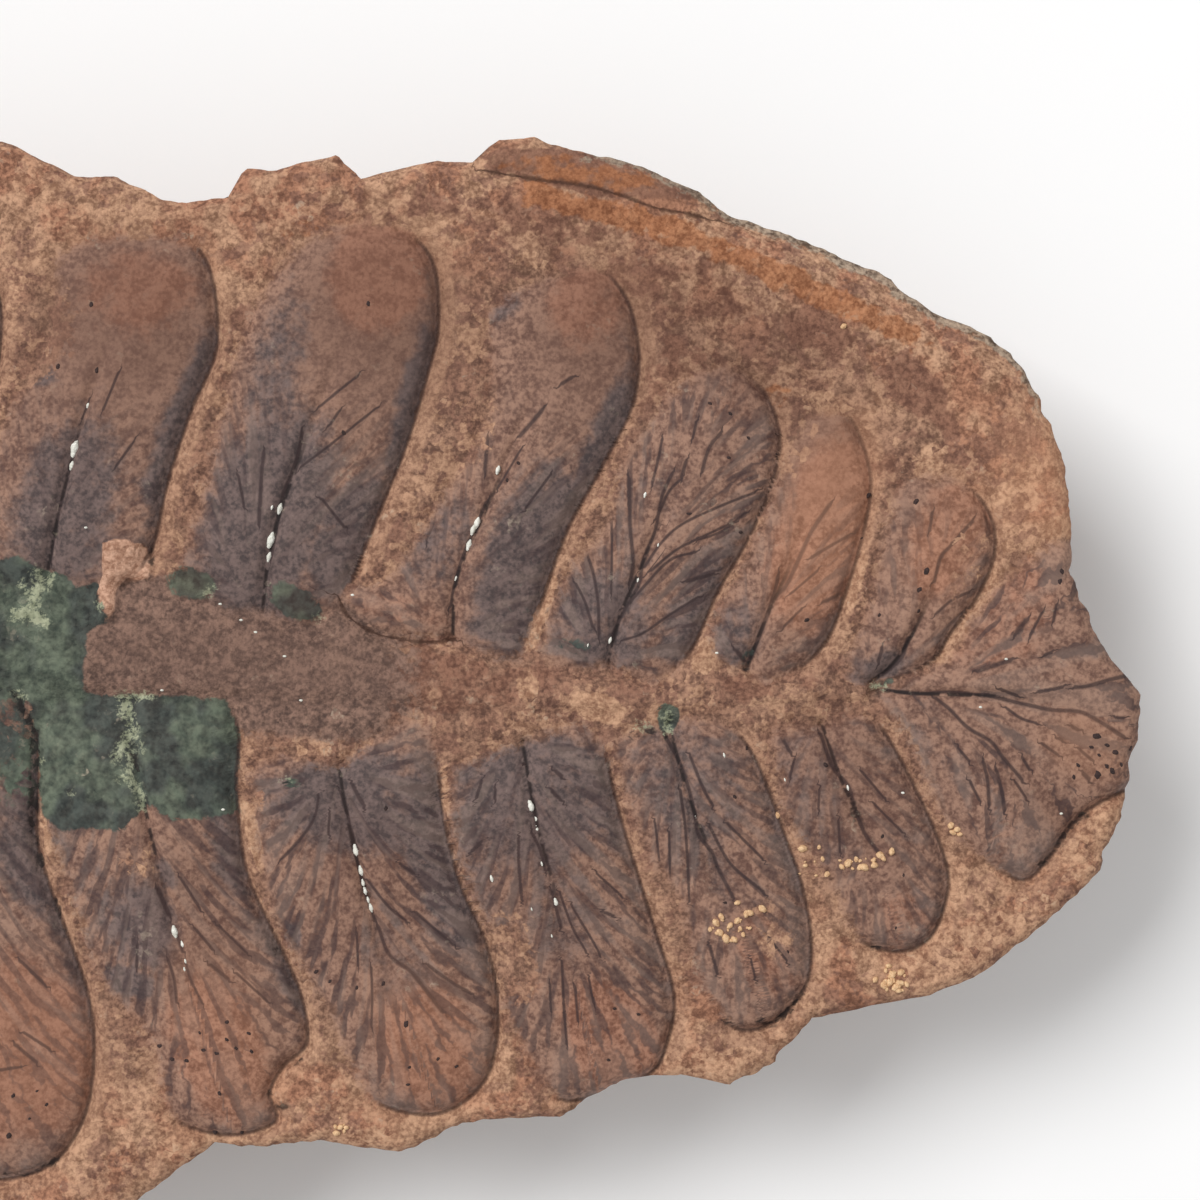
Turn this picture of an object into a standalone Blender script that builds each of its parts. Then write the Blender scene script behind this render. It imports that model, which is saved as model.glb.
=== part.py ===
"""Fossil fern leaf in one half of a split ironstone nodule.

The half nodule lies on its rounded back, which is flat where it rests, with the split face up. The
face carries the leaf in low relief: a stem along X, leaflets on both sides of it and a wider one at
its end, each a vaulted cushion with a groove for its midrib and a crease along its margin.

Units are metres, +Z is up, and the origin is the middle of the bottom of the stone's box. The
dimensions below are in millimetres.
"""

from collections import namedtuple

import bmesh
import bpy
import numpy as np
from mathutils import Vector, noise

MM = 0.001

# Stone
LENGTH = 109.0
WIDTH = 56.5
FACE_HEIGHT = 13.6
FACE_CROWN = 0.7
FACE_WAVE = 0.45
FACE_WAVE_LENGTH = 26.0
FAR_RIM_WAVE = 0.012
FAR_RIM_WAVES = 7
FAR_RIM_STARTS = (1.6, 2.0)
RIM_BLEND_POWER = 14
RIM_SMOOTHING_DEGREES = 7.0
BACK_LUMP = 0.5
BACK_LUMP_LENGTH = 14.0
BACK_FLOOR_SCALE = 0.25
BACK_BELOW_REST = 1.3
BACK_RINGS = 12

# Rim bevel: slight all round, and broad along the upper right edge
RIM_BEVEL_WIDTH = 0.6
RIM_BEVEL_DROP = 0.45
BROAD_BEVEL_WIDTH = 2.1
BROAD_BEVEL_DROP = 1.1
BROAD_BEVEL_MIDDLE_DEGREES = 45.0
BROAD_BEVEL_SPREAD_DEGREES = 17.0

# Leaf relief
CUSHION_HEIGHT = 0.95
CUSHION_SHOULDER = 1.5
CREASE_DEPTH = 0.50
CREASE_WIDTH = 0.42
CREASE_SOFT_SHARE = 0.3
MIDRIB_DEPTH = 0.45
MIDRIB_WIDTH = 0.42
MIDRIB_FADE = 0.75
STRIP_RISE = 0.35
STRIP_SHOULDER = 0.5
STEM_RISE = 0.22
STEM_HALF_WIDTH = (2.2, 0.4)
STEM_LINE = [(-56.0, 3.1), (-25.0, 3.1), (-2.5, 2.9), (12.0, 1.8), (28.0, 0.3), (41.0, 0.5)]

# Leaflets of the far half, which follow a rule: each repeats the last one a pitch further back
FAR_LEAFLETS = 4
LEAFLET_PITCH = 10.8
FAR_UPPER_BASE = (-0.4, 6.2)
FAR_UPPER_TIP = (5.4, 23.6)
FAR_LOWER_BASE = (-6.8, 0.0)
FAR_LOWER_TIP = (-2.4, -23.4)
FAR_HALF_WIDTH = 5.0
FAR_FULLNESS = 2.8
FAR_SHRINK = 0.045

# Mesh
FACE_CELLS = (300, 160)
BODY_TRIANGLES = 8600
CURVE_STEPS = 6

# The stone's edge, clockwise from the top, where it is ragged; the far end is a plain oval
RIM = [
    (-9.5, 27.8), (-2.5, 28.1), (1.0, 26.3), (3.2, 26.2), (5.4, 25.2), (6.7, 25.0), (8.9, 25.3),
    (9.6, 26.8), (11.2, 26.6), (14.2, 27.4), (15.4, 26.2), (19.3, 27.2), (21.1, 27.0),
    (22.2, 28.1), (24.2, 28.25), (29.6, 26.8), (32.6, 25.6), (34.2, 24.4), (41.4, 21.6),
    (44.6, 19.4), (47.3, 18.3), (48.8, 16.8), (50.7, 11.8), (51.1, 6.4), (52.3, 3.2),
    (54.5, 0.2), (54.4, -2.4), (52.4, -8.7), (46.3, -14.0), (44.2, -14.8), (38.2, -16.0),
    (36.0, -18.4), (34.0, -19.4), (31.6, -18.9), (28.7, -19.2), (25.4, -21.0), (21.7, -21.1),
    (20.0, -21.5), (17.5, -22.8), (13.3, -22.2), (9.4, -22.5), (8.0, -22.2), (4.6, -24.9),
    (0.5, -27.2), (-6.6, -28.2),
]

# A leaflet's outline runs from its base along the edge ahead, to the tip, and back along the
# edge behind, which is listed from the base too. The rib's points lie between base and tip.
Leaflet = namedtuple("Leaflet", "base ahead tip behind rib")

LEAFLETS = {
    "end": Leaflet(
        (40.9, 0.5),
        [(44.0, 1.5), (45.1, 2.4), (46.4, 4.6), (48.4, 6.7), (50.8, 8.1), (54.0, 7.0), (57.0, 3.0)],
        (58.0, -1.9),
        [(41.8, -0.4), (42.7, -1.6), (43.8, -4.2), (44.9, -6.2), (46.4, -7.8), (48.7, -9.1),
         (49.9, -8.2), (51.4, -6.1), (53.5, -4.8), (56.0, -4.0)],
        [(43.9, 0.3), (48.4, 0.1), (51.9, -0.7)]),
    "upper_6": Leaflet(
        (40.9, 0.7),
        [(44.0, 1.8), (45.1, 3.3), (46.5, 5.2), (47.3, 7.2), (47.2, 9.0)],
        (46.2, 10.5),
        [(39.9, 1.2), (39.8, 2.2), (40.7, 4.1), (41.5, 7.0), (41.8, 9.0), (42.8, 11.0), (44.5, 11.2)],
        [(42.5, 2.2), (44.2, 5.5)]),
    "upper_5": Leaflet(
        (34.8, 1.4),
        [(35.8, 0.8), (37.5, 1.6), (38.9, 3.0), (39.9, 5.5), (40.7, 8.3), (41.1, 10.7), (40.7, 12.8)],
        (39.8, 14.3),
        [(33.6, 1.8), (33.0, 3.0), (33.6, 4.8), (34.9, 7.0), (35.9, 9.5), (36.8, 12.0), (38.1, 14.2)],
        [(35.8, 4.1), (37.2, 7.2)]),
    "upper_4": Leaflet(
        (27.9, 1.6),
        [(30.2, 0.8), (32.0, 2.4), (33.4, 5.4), (35.0, 8.2), (36.2, 11.0), (36.5, 13.3), (35.8, 15.3)],
        (34.2, 16.6),
        [(26.2, 1.4), (24.8, 2.0), (24.6, 2.9), (25.8, 6.3), (27.7, 8.7), (28.6, 11.8), (30.2, 14.2),
         (32.0, 16.3)],
        [(28.5, 4.2), (29.5, 6.5), (31.0, 10.0)]),
    "upper_3": Leaflet(
        (20.1, 3.0),
        [(22.0, 2.2), (23.5, 2.1), (24.6, 5.0), (25.9, 8.6), (27.6, 11.7), (29.2, 15.0), (29.4, 18.0),
         (28.6, 20.5)],
        (26.8, 21.8),
        [(17.5, 3.2), (16.0, 3.6), (14.7, 4.9), (15.1, 5.6), (16.8, 6.1), (18.2, 7.8), (19.5, 10.0),
         (21.9, 14.5), (21.9, 19.0), (23.5, 20.6)],
        [(20.4, 6.2), (21.7, 9.3), (23.5, 13.5)]),
    "upper_2": Leaflet(
        (10.6, 4.4),
        [(12.5, 3.6), (14.2, 4.4), (14.8, 5.3), (16.4, 9.3), (17.8, 12.8), (18.9, 16.5), (19.4, 19.0),
         (19.0, 22.2)],
        (16.8, 23.9),
        [(8.8, 4.5), (7.0, 6.0), (6.7, 7.4), (7.7, 10.6), (8.8, 15.0), (9.5, 18.0), (11.2, 21.4),
         (13.4, 23.4)],
        [(11.2, 8.1), (12.7, 12.5), (14.8, 18.0)]),
    "upper_1": Leaflet(
        (-0.2, 6.1),
        [(2.0, 5.5), (4.0, 6.0), (5.1, 7.6), (5.9, 11.0), (7.0, 14.4), (8.3, 17.8), (7.8, 21.9)],
        (5.8, 23.3),
        [(-2.0, 5.5), (-3.5, 7.0), (-3.2, 11.0), (-2.2, 14.0), (-0.6, 17.0), (0.1, 20.0), (0.2, 22.1),
         (2.0, 23.1)],
        [(0.6, 9.6), (1.6, 13.5), (3.0, 17.5)]),
    "lower_6": Leaflet(
        (38.6, -1.1),
        [(40.7, -0.8), (41.6, -1.4), (43.0, -3.8), (44.4, -6.8), (45.0, -8.8), (44.8, -10.5),
         (44.1, -12.0)],
        (42.8, -12.7),
        [(37.0, -1.4), (36.1, -1.9), (36.4, -4.1), (36.9, -6.0), (38.4, -8.1), (39.1, -9.1),
         (40.0, -11.5), (41.1, -12.4)],
        [(39.6, -4.1), (41.2, -7.4)]),
    "lower_5": Leaflet(
        (30.9, -1.1),
        [(32.8, -0.9), (34.0, -1.3), (35.4, -3.2), (36.8, -6.9), (37.6, -9.2), (38.1, -12.0),
         (37.8, -14.5)],
        (36.0, -16.4),
        [(29.1, -1.6), (28.1, -2.2), (28.7, -4.7), (29.8, -7.5), (31.5, -10.2), (32.0, -12.7),
         (32.9, -14.8), (34.2, -16.5)],
        [(32.0, -5.0), (33.3, -8.3), (34.8, -12.5)]),
    "lower_4": Leaflet(
        (23.6, -2.0),
        [(25.1, -1.5), (26.5, -1.1), (27.6, -2.1), (28.2, -4.6), (28.9, -7.2), (30.2, -11.4),
         (31.2, -14.8), (30.9, -17.2), (30.0, -18.9)],
        (27.5, -20.0),
        [(21.5, -2.8), (19.8, -3.2), (19.5, -4.5), (20.1, -7.5), (21.4, -10.8), (22.2, -13.2),
         (22.6, -15.8), (23.9, -18.2), (25.4, -20.1)],
        [(24.4, -6.3), (25.4, -10.1), (26.5, -15.0)]),
    "lower_3": Leaflet(
        (14.4, -3.1),
        [(17.5, -1.1), (18.8, -1.4), (19.5, -3.2), (19.7, -6.0), (20.7, -9.4), (21.9, -12.7),
         (22.5, -16.0), (21.8, -19.0)],
        (19.5, -20.8),
        [(12.0, -2.6), (9.9, -3.6), (10.1, -5.0), (10.4, -7.5), (11.0, -10.6), (12.4, -13.1),
         (13.9, -15.6), (14.9, -18.2), (16.4, -20.3)],
        [(15.2, -7.2), (16.2, -10.8), (17.5, -15.0)]),
    "lower_2": Leaflet(
        (3.9, 0.2),
        [(6.4, 0.2), (8.6, 0.0), (9.4, -1.6), (9.3, -4.5), (9.8, -8.6), (11.4, -12.2), (12.5, -14.8),
         (12.8, -17.2), (11.6, -18.4), (10.9, -19.8), (11.2, -21.2)],
        (9.1, -21.9),
        [(1.8, 0.0), (-0.4, -0.6), (-0.5, -3.5), (-0.2, -6.2), (1.3, -10.6), (2.6, -14.2),
         (4.9, -16.8), (5.7, -20.4), (7.0, -21.5)],
        [(4.8, -5.3), (6.3, -11.5), (7.8, -16.5)]),
    "lower_1": Leaflet(
        (-6.8, 0.0),
        [(-3.5, 0.5), (-2.0, 0.5), (-0.8, -1.6), (-0.6, -3.5), (-0.7, -7.2), (0.5, -11.0),
         (1.8, -14.8), (2.1, -17.8), (1.5, -21.2), (-0.5, -23.6)],
        (-4.0, -24.0),
        [(-9.0, 0.0), (-10.8, -2.0), (-10.8, -7.5), (-10.0, -12.5), (-9.0, -17.5), (-7.5, -21.5)],
        [(-6.0, -5.0), (-5.2, -12.5)]),
}


def clear_scene():
    """Remove every object of the open scene."""
    for thing in list(bpy.data.objects):
        bpy.data.objects.remove(thing, do_unlink=True)


def ease(low, high, value):
    """Return 0 below low, 1 above high, and a smooth step between them."""
    t = np.clip((value - low) / (high - low), 0.0, 1.0)
    return t * t * (3.0 - 2.0 * t)


def far_leaflet(number, base, tip):
    """Return a far leaflet: a full, rounded tongue that repeats the near ones a pitch further back."""
    shift = np.array([-LEAFLET_PITCH * number, 0.0])
    start = np.array(base) + shift
    run = (np.array(tip) + shift - start) * (1.0 - FAR_SHRINK * number)
    across = np.array([run[1], -run[0]]) / np.linalg.norm(run)
    if run[1] < 0.0:
        across = -across
    ahead = []
    behind = []
    for along in (0.02, 0.12, 0.35, 0.65, 0.88, 0.98):
        half = FAR_HALF_WIDTH * (1.0 - abs(2.0 * along - 1.0) ** FAR_FULLNESS) ** (1.0 / FAR_FULLNESS)
        ahead.append(tuple(start + run * along + across * half))
        behind.append(tuple(start + run * along - across * half))
    return Leaflet(tuple(start), ahead, tuple(start + run), behind, [tuple(start + run * 0.5)])


def all_leaflets():
    """Return every leaflet, near and far."""
    leaflets = list(LEAFLETS.values())
    for number in range(1, FAR_LEAFLETS + 1):
        leaflets.append(far_leaflet(number, FAR_UPPER_BASE, FAR_UPPER_TIP))
        leaflets.append(far_leaflet(number, FAR_LOWER_BASE, FAR_LOWER_TIP))
    return leaflets


def smooth_line(points, closed):
    """Return a smooth line through the points, as a Catmull-Rom curve."""
    knots = np.array(points, dtype=float)
    count = len(knots)
    if not closed:
        first = 2.0 * knots[0] - knots[1]
        last = 2.0 * knots[-1] - knots[-2]
        knots = np.vstack([first, knots, last])
    line = []
    for i in range(count if closed else count - 1):
        if closed:
            a, b, c, d = (knots[(i + k) % count] for k in (-1, 0, 1, 2))
        else:
            a, b, c, d = knots[i:i + 4]
        for t in np.arange(CURVE_STEPS) / CURVE_STEPS:
            line.append(0.5 * (2 * b + (c - a) * t + (2 * a - 5 * b + 4 * c - d) * t * t
                               + (3 * b - a - 3 * c + d) * t ** 3))
    line.append(line[0] if closed else knots[-2])
    return np.array(line)


def nearest_on_line(points, line):
    """Return each point's distance to a line, the share of the line before that place, and the place."""
    best = np.full(len(points), np.inf)
    share = np.zeros(len(points))
    place = np.zeros((len(points), 2))
    pieces = len(line) - 1
    for i in range(pieces):
        run = line[i + 1] - line[i]
        t = np.clip((points - line[i]) @ run / max(run @ run, 1e-12), 0.0, 1.0)
        foot = line[i] + t[:, None] * run
        distance = np.linalg.norm(points - foot, axis=1)
        closer = distance < best
        best[closer] = distance[closer]
        share[closer] = (i + t[closer]) / pieces
        place[closer] = foot[closer]
    return best, share, place


def inside_line(points, line):
    """Return which points a closed line goes round, by counting the edges that they see to +X."""
    inside = np.zeros(len(points), dtype=bool)
    for start, end in zip(line[:-1], line[1:]):
        if start[1] == end[1]:
            continue
        spans = (start[1] > points[:, 1]) != (end[1] > points[:, 1])
        x = start[0] + (points[:, 1] - start[1]) * (end[0] - start[0]) / (end[1] - start[1])
        inside ^= spans & (points[:, 0] < x)
    return inside


class Rim:
    """The stone's edge, as a radius of about 1 over the angle, both counted in the plain oval."""

    def __init__(self):
        edge = np.array(RIM) / (LENGTH / 2, WIDTH / 2)
        angles = np.arctan2(edge[:, 1], edge[:, 0])
        order = np.argsort(angles)
        self.angles = angles[order]
        self.radii = np.linalg.norm(edge, axis=1)[order]
        self.degrees = np.radians(np.arange(-180.0, 180.0))
        sharp = self.exact(self.degrees)
        reach = np.arange(-30, 31)
        weights = np.exp(-(reach / RIM_SMOOTHING_DEGREES) ** 2)
        self.soft = sum(np.roll(sharp, k) * w for k, w in zip(reach, weights)) / weights.sum()

    def exact(self, angle):
        """Return the edge's radius: ragged where it is listed, and wavy along the far end's oval."""
        from_near_end = np.abs((angle + np.pi) % (2 * np.pi) - np.pi)
        wave = FAR_RIM_WAVE * (1.0 + np.cos(FAR_RIM_WAVES * angle)) / 2.0
        listed = np.interp(angle, self.angles, self.radii, period=2 * np.pi)
        return listed - wave * ease(*FAR_RIM_STARTS, from_near_end)

    def smoothed(self, angle):
        """Return the edge's radius without its chips."""
        return np.interp(angle, self.degrees, self.soft, period=2 * np.pi)

    def place(self, angle, radius, ragged):
        """Return the point at an angle and a share of the radius; ragged is 1 for the exact edge."""
        scale = radius * (self.smoothed(angle) * (1.0 - ragged) + self.exact(angle) * ragged)
        return np.stack([scale * np.cos(angle) * LENGTH / 2, scale * np.sin(angle) * WIDTH / 2], axis=1)


def disc_from_square(square):
    """Return the angle and radius in a round disc of points in a square, ring by ring."""
    a, b = square[:, 0], square[:, 1]
    wide = np.abs(a) >= np.abs(b)
    safe_a = np.where(a == 0.0, 1.0, a)
    safe_b = np.where(b == 0.0, 1.0, b)
    quarter = np.pi / 4
    angle = np.where(wide, quarter * b / safe_a, np.pi / 2 - quarter * a / safe_b)
    signed = np.where(wide, a, b)
    angle = np.where(signed < 0.0, angle + np.pi, angle)
    return angle, np.abs(signed)


def noise_at(points, length, seed):
    """Return smooth noise of -1 to 1 at points in the plane, for bumps of the given length."""
    return np.array([noise.noise(Vector((x / length, y / length, seed))) for x, y in points])


def leaf_relief(points):
    """Return how far the leaf stands above the plain face at each point."""
    deepest = np.full(len(points), -np.inf)
    outward = np.zeros((len(points), 2))
    rib_groove = np.zeros(len(points))
    margin = 4.0
    for leaflet in all_leaflets():
        edge = smooth_line([leaflet.base, *leaflet.ahead, leaflet.tip, *leaflet.behind[::-1]], True)
        near = np.all((points > edge.min(0) - margin) & (points < edge.max(0) + margin), axis=1)
        if not near.any():
            continue
        local = points[near]
        distance, _, place = nearest_on_line(local, edge)
        inside = inside_line(local, edge)
        depth = np.where(inside, distance, -distance)
        away = (local - place) / np.maximum(distance, 1e-9)[:, None] * np.where(inside, -1.0, 1.0)[:, None]
        index = np.flatnonzero(near)
        closer = depth > deepest[index]
        deepest[index[closer]] = depth[closer]
        outward[index[closer]] = away[closer]
        rib = smooth_line([leaflet.base, *leaflet.rib, leaflet.tip], False)
        from_rib, along, _ = nearest_on_line(local, rib)
        fade = 1.0 - ease(MIDRIB_FADE * 0.5, MIDRIB_FADE, along)
        groove = np.exp(-(from_rib / MIDRIB_WIDTH) ** 2) * fade * inside
        rib_groove[index] = np.maximum(rib_groove[index], groove)

    cushion = CUSHION_HEIGHT * (1.0 - np.exp(-np.maximum(deepest, 0.0) / CUSHION_SHOULDER))
    strip = STRIP_RISE * (1.0 - np.exp(-np.maximum(-deepest, 0.0) / STRIP_SHOULDER))
    shade_side = outward @ np.array([0.8, -0.6])
    crisp = CREASE_SOFT_SHARE + (1.0 - CREASE_SOFT_SHARE) * ease(-0.5, 0.5, shade_side)
    crease = CREASE_DEPTH * crisp * np.exp(-(deepest / CREASE_WIDTH) ** 2)

    stem = smooth_line(STEM_LINE, False)
    from_stem, along, _ = nearest_on_line(points, stem)
    half = STEM_HALF_WIDTH[0] + (STEM_HALF_WIDTH[1] - STEM_HALF_WIDTH[0]) * ease(0.5, 1.0, along)
    bank = STEM_RISE * (1.0 - ease(half * 0.7, half * 1.3, from_stem)) * (deepest < 0.0)
    return cushion + strip - crease - MIDRIB_DEPTH * rib_groove + bank


def rim_bevel(points, angle, rim):
    """Return how far the face falls away towards the rim at each point."""
    every = np.radians(np.arange(0.0, 360.0, 0.5))
    edge = rim.place(every, np.ones(len(every)), 1.0)
    edge = np.vstack([edge, edge[:1]])
    distance, _, _ = nearest_on_line(points, edge)
    degrees = np.degrees((angle + np.pi) % (2 * np.pi) - np.pi)
    broad = np.exp(-((degrees - BROAD_BEVEL_MIDDLE_DEGREES) / BROAD_BEVEL_SPREAD_DEGREES) ** 4)
    width = RIM_BEVEL_WIDTH + (BROAD_BEVEL_WIDTH - RIM_BEVEL_WIDTH) * broad
    drop = RIM_BEVEL_DROP + (BROAD_BEVEL_DROP - RIM_BEVEL_DROP) * broad
    return drop * (1.0 - np.clip(distance / width, 0.0, 1.0)) ** 1.5


def face_height(points, angle, radius, rim):
    """Return the split face's height at each point."""
    wave = FACE_WAVE * noise_at(points, FACE_WAVE_LENGTH, 3.0)
    crown = FACE_CROWN * radius ** 4
    return FACE_HEIGHT + wave - crown + leaf_relief(points) - rim_bevel(points, angle, rim)


def stone_shell(rim):
    """Return the stone as an open shell: the split face, and the back in rings down past its rest."""
    shell = bmesh.new()
    bmesh.ops.create_grid(shell, x_segments=FACE_CELLS[0], y_segments=FACE_CELLS[1], size=1.0)
    square = np.array([vertex.co[:2] for vertex in shell.verts])
    angle, radius = disc_from_square(square)
    points = rim.place(angle, radius, radius ** RIM_BLEND_POWER)
    height = face_height(points, angle, radius, rim)
    for vertex, (x, y), z in zip(shell.verts, points, height):
        vertex.co = Vector((round(x, 4), round(y, 4), round(z, 4))) * MM

    edges = [edge for edge in shell.edges if edge.is_boundary]
    angles = {vertex: a for vertex, a in zip(shell.verts, angle)}
    ring = {vertex: (angles[vertex], vertex.co.z / MM) for edge in edges for vertex in edge.verts}
    for number in range(1, BACK_RINGS + 1):
        turn = number / BACK_RINGS * np.pi / 2
        made = bmesh.ops.extrude_edge_only(shell, edges=edges)["geom"]
        edges = [item for item in made if isinstance(item, bmesh.types.BMEdge) and item.is_boundary]
        above = {(round(v.co.x, 9), round(v.co.y, 9), round(v.co.z, 9)): data for v, data in ring.items()}
        fresh = [item for item in made if isinstance(item, bmesh.types.BMVert)]
        data = [above[round(v.co.x, 9), round(v.co.y, 9), round(v.co.z, 9)] for v in fresh]
        around = np.array([item[0] for item in data])
        top = np.array([item[1] for item in data])
        inwards = BACK_FLOOR_SCALE + (1.0 - BACK_FLOOR_SCALE) * np.cos(turn) ** 0.85
        places = rim.place(around, np.full(len(around), inwards), (1.0 - number / BACK_RINGS) ** 3)
        lumps = BACK_LUMP * np.sin(2 * turn) * noise_at(places + (0.0, 40.0), BACK_LUMP_LENGTH, turn)
        depth = top - (top + BACK_BELOW_REST) * np.sin(turn) ** 1.2 + lumps * np.sin(turn)
        ring = {}
        for vertex, (x, y), z, item in zip(fresh, places, depth, data):
            vertex.co = Vector((round(x, 4), round(y, 4), round(z, 4))) * MM
            ring[vertex] = item
    return shell


def thinned(shell, triangles):
    """Return the shell's mesh with only as many triangles as its shape needs."""
    mesh = bpy.data.meshes.new("shell")
    shell.to_mesh(mesh)
    mesh.calc_loop_triangles()
    holder = bpy.data.objects.new("shell", mesh)
    bpy.context.scene.collection.objects.link(holder)
    decimate = holder.modifiers.new("thin out", "DECIMATE")
    decimate.ratio = triangles / len(mesh.loop_triangles)
    bpy.context.view_layer.update()
    thin = bpy.data.meshes.new_from_object(holder.evaluated_get(bpy.context.evaluated_depsgraph_get()))
    bpy.data.objects.remove(holder, do_unlink=True)
    return thin


def closed_on_rest(mesh):
    """Cut the shell off flat at the surface it rests on, and close it there."""
    body = bmesh.new()
    body.from_mesh(mesh)
    whole = body.verts[:] + body.edges[:] + body.faces[:]
    bmesh.ops.bisect_plane(body, geom=whole, plane_co=(0, 0, 0), plane_no=(0, 0, 1), clear_inner=True)
    bmesh.ops.holes_fill(body, edges=[edge for edge in body.edges if edge.is_boundary], sides=0)
    bmesh.ops.recalc_face_normals(body, faces=body.faces)
    body.to_mesh(mesh)
    body.free()


def ironstone():
    """Return the stone's material: dull brown ironstone."""
    material = bpy.data.materials.new("ironstone")
    material.use_nodes = True
    shader = material.node_tree.nodes["Principled BSDF"]
    shader.inputs["Base Color"].default_value = (0.175, 0.085, 0.052, 1.0)
    shader.inputs["Roughness"].default_value = 0.85
    shader.inputs["Metallic"].default_value = 0.0
    return material


def make_stone(collection):
    """Make the half nodule with the leaf on its face."""
    shell = stone_shell(Rim())
    mesh = thinned(shell, BODY_TRIANGLES)
    shell.free()
    closed_on_rest(mesh)
    mesh.name = "fossil_nodule"
    mesh.shade_smooth()
    mesh.set_sharp_from_angle(angle=np.radians(60.0))
    mesh.materials.clear()
    mesh.materials.append(ironstone())
    stone = bpy.data.objects.new("fossil_nodule", mesh)
    collection.objects.link(stone)
    return stone


def main():
    clear_scene()
    collection = bpy.data.collections.new("Fossil_fern_leaf")
    bpy.context.scene.collection.children.link(collection)
    make_stone(collection)


main()
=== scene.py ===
# %% [markdown]
# # A fossil fern leaf in a split nodule
#
# The object is one half of an ironstone nodule. It was split open along a leaf of a seed fern, and the
# leaf stands on the split face in low relief: a stem, leaflets on both sides of it and a wider one at
# its end. The frame below holds the plain solid at its real size, and this script makes the surface
# that is seen: fine relief, veins, stains and mineral grains.

# %% Load the frame
import math
from collections import namedtuple

import bpy
import numpy as np
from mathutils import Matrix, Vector, noise


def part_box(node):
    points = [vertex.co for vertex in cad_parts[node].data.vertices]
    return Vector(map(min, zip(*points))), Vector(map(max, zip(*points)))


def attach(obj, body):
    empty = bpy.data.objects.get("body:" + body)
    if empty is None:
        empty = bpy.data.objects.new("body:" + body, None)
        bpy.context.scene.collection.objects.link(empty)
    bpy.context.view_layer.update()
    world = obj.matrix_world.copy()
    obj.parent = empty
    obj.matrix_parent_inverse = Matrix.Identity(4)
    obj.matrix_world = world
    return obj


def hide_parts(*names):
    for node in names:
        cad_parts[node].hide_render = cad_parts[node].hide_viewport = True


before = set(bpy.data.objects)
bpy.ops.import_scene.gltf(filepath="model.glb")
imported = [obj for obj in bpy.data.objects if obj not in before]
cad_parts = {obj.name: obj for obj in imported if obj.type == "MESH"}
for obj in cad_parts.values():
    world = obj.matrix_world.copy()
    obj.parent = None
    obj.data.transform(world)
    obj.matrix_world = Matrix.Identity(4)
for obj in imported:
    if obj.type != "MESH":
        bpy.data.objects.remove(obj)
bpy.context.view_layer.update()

MM = 0.001
stone_low, stone_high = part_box("fossil_nodule")
print("stone in the frame, mm:", [round((high - low) / MM, 1) for low, high in zip(stone_low, stone_high)])

# %% [markdown]
# ## The stone's edge
#
# Seen from above, the near end of the stone is chipped and ragged, and the far end is a plain oval. A
# list of corner points would draw that edge, but the mesh of the face has to reach it from the middle
# without folding. So the edge is kept as a radius over the angle, in an oval that is stretched to the
# stone's length and width: then every point of the face is an angle and a share of that radius.

# %% The edge as a radius over the angle
LENGTH = 109.0
WIDTH = 56.5
FAR_RIM_WAVE = 0.012
FAR_RIM_WAVES = 7
FAR_RIM_STARTS = (1.6, 2.0)
RIM_NICKS = ((2.2, 0.12), (0.9, 0.09), (0.4, 0.06))
RIM_SMOOTHING_DEGREES = 7.0
RIM = [
    (-9.5, 27.8), (-2.5, 28.1), (1.0, 26.3), (3.2, 26.2), (5.4, 25.2), (6.7, 25.0), (8.9, 25.3),
    (9.6, 26.8), (11.2, 26.6), (14.2, 27.4), (15.4, 26.2), (19.3, 27.2), (21.1, 27.0),
    (22.2, 28.1), (24.2, 28.25), (29.6, 26.8), (32.6, 25.6), (34.2, 24.4), (41.4, 21.6),
    (44.6, 19.4), (47.3, 18.3), (48.8, 16.8), (50.7, 11.8), (51.1, 6.4), (52.3, 3.2),
    (54.5, 0.2), (54.4, -2.4), (52.4, -8.7), (46.3, -14.0), (44.2, -14.8), (38.2, -16.0),
    (36.0, -18.4), (34.0, -19.4), (31.6, -18.9), (28.7, -19.2), (25.4, -21.0), (21.7, -21.1),
    (20.0, -21.5), (17.5, -22.8), (13.3, -22.2), (9.4, -22.5), (8.0, -22.2), (4.6, -24.9),
    (0.5, -27.2), (-6.6, -28.2),
]


def ease(low, high, value):
    """Return 0 below low, 1 above high, and a smooth step between them."""
    t = np.clip((value - low) / (high - low), 0.0, 1.0)
    return t * t * (3.0 - 2.0 * t)


def noise_at(points, length, seed):
    """Return smooth noise of -1 to 1 at points in the plane, for bumps of the given length."""
    return np.array([noise.noise(Vector((x / length, y / length, seed))) for x, y in points])


def bumps(points, sizes, seed):
    """Return the sum of several sizes of noise: pairs of a bump's length and its height."""
    return sum(height * noise_at(points, length, seed + length) for length, height in sizes)


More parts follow.
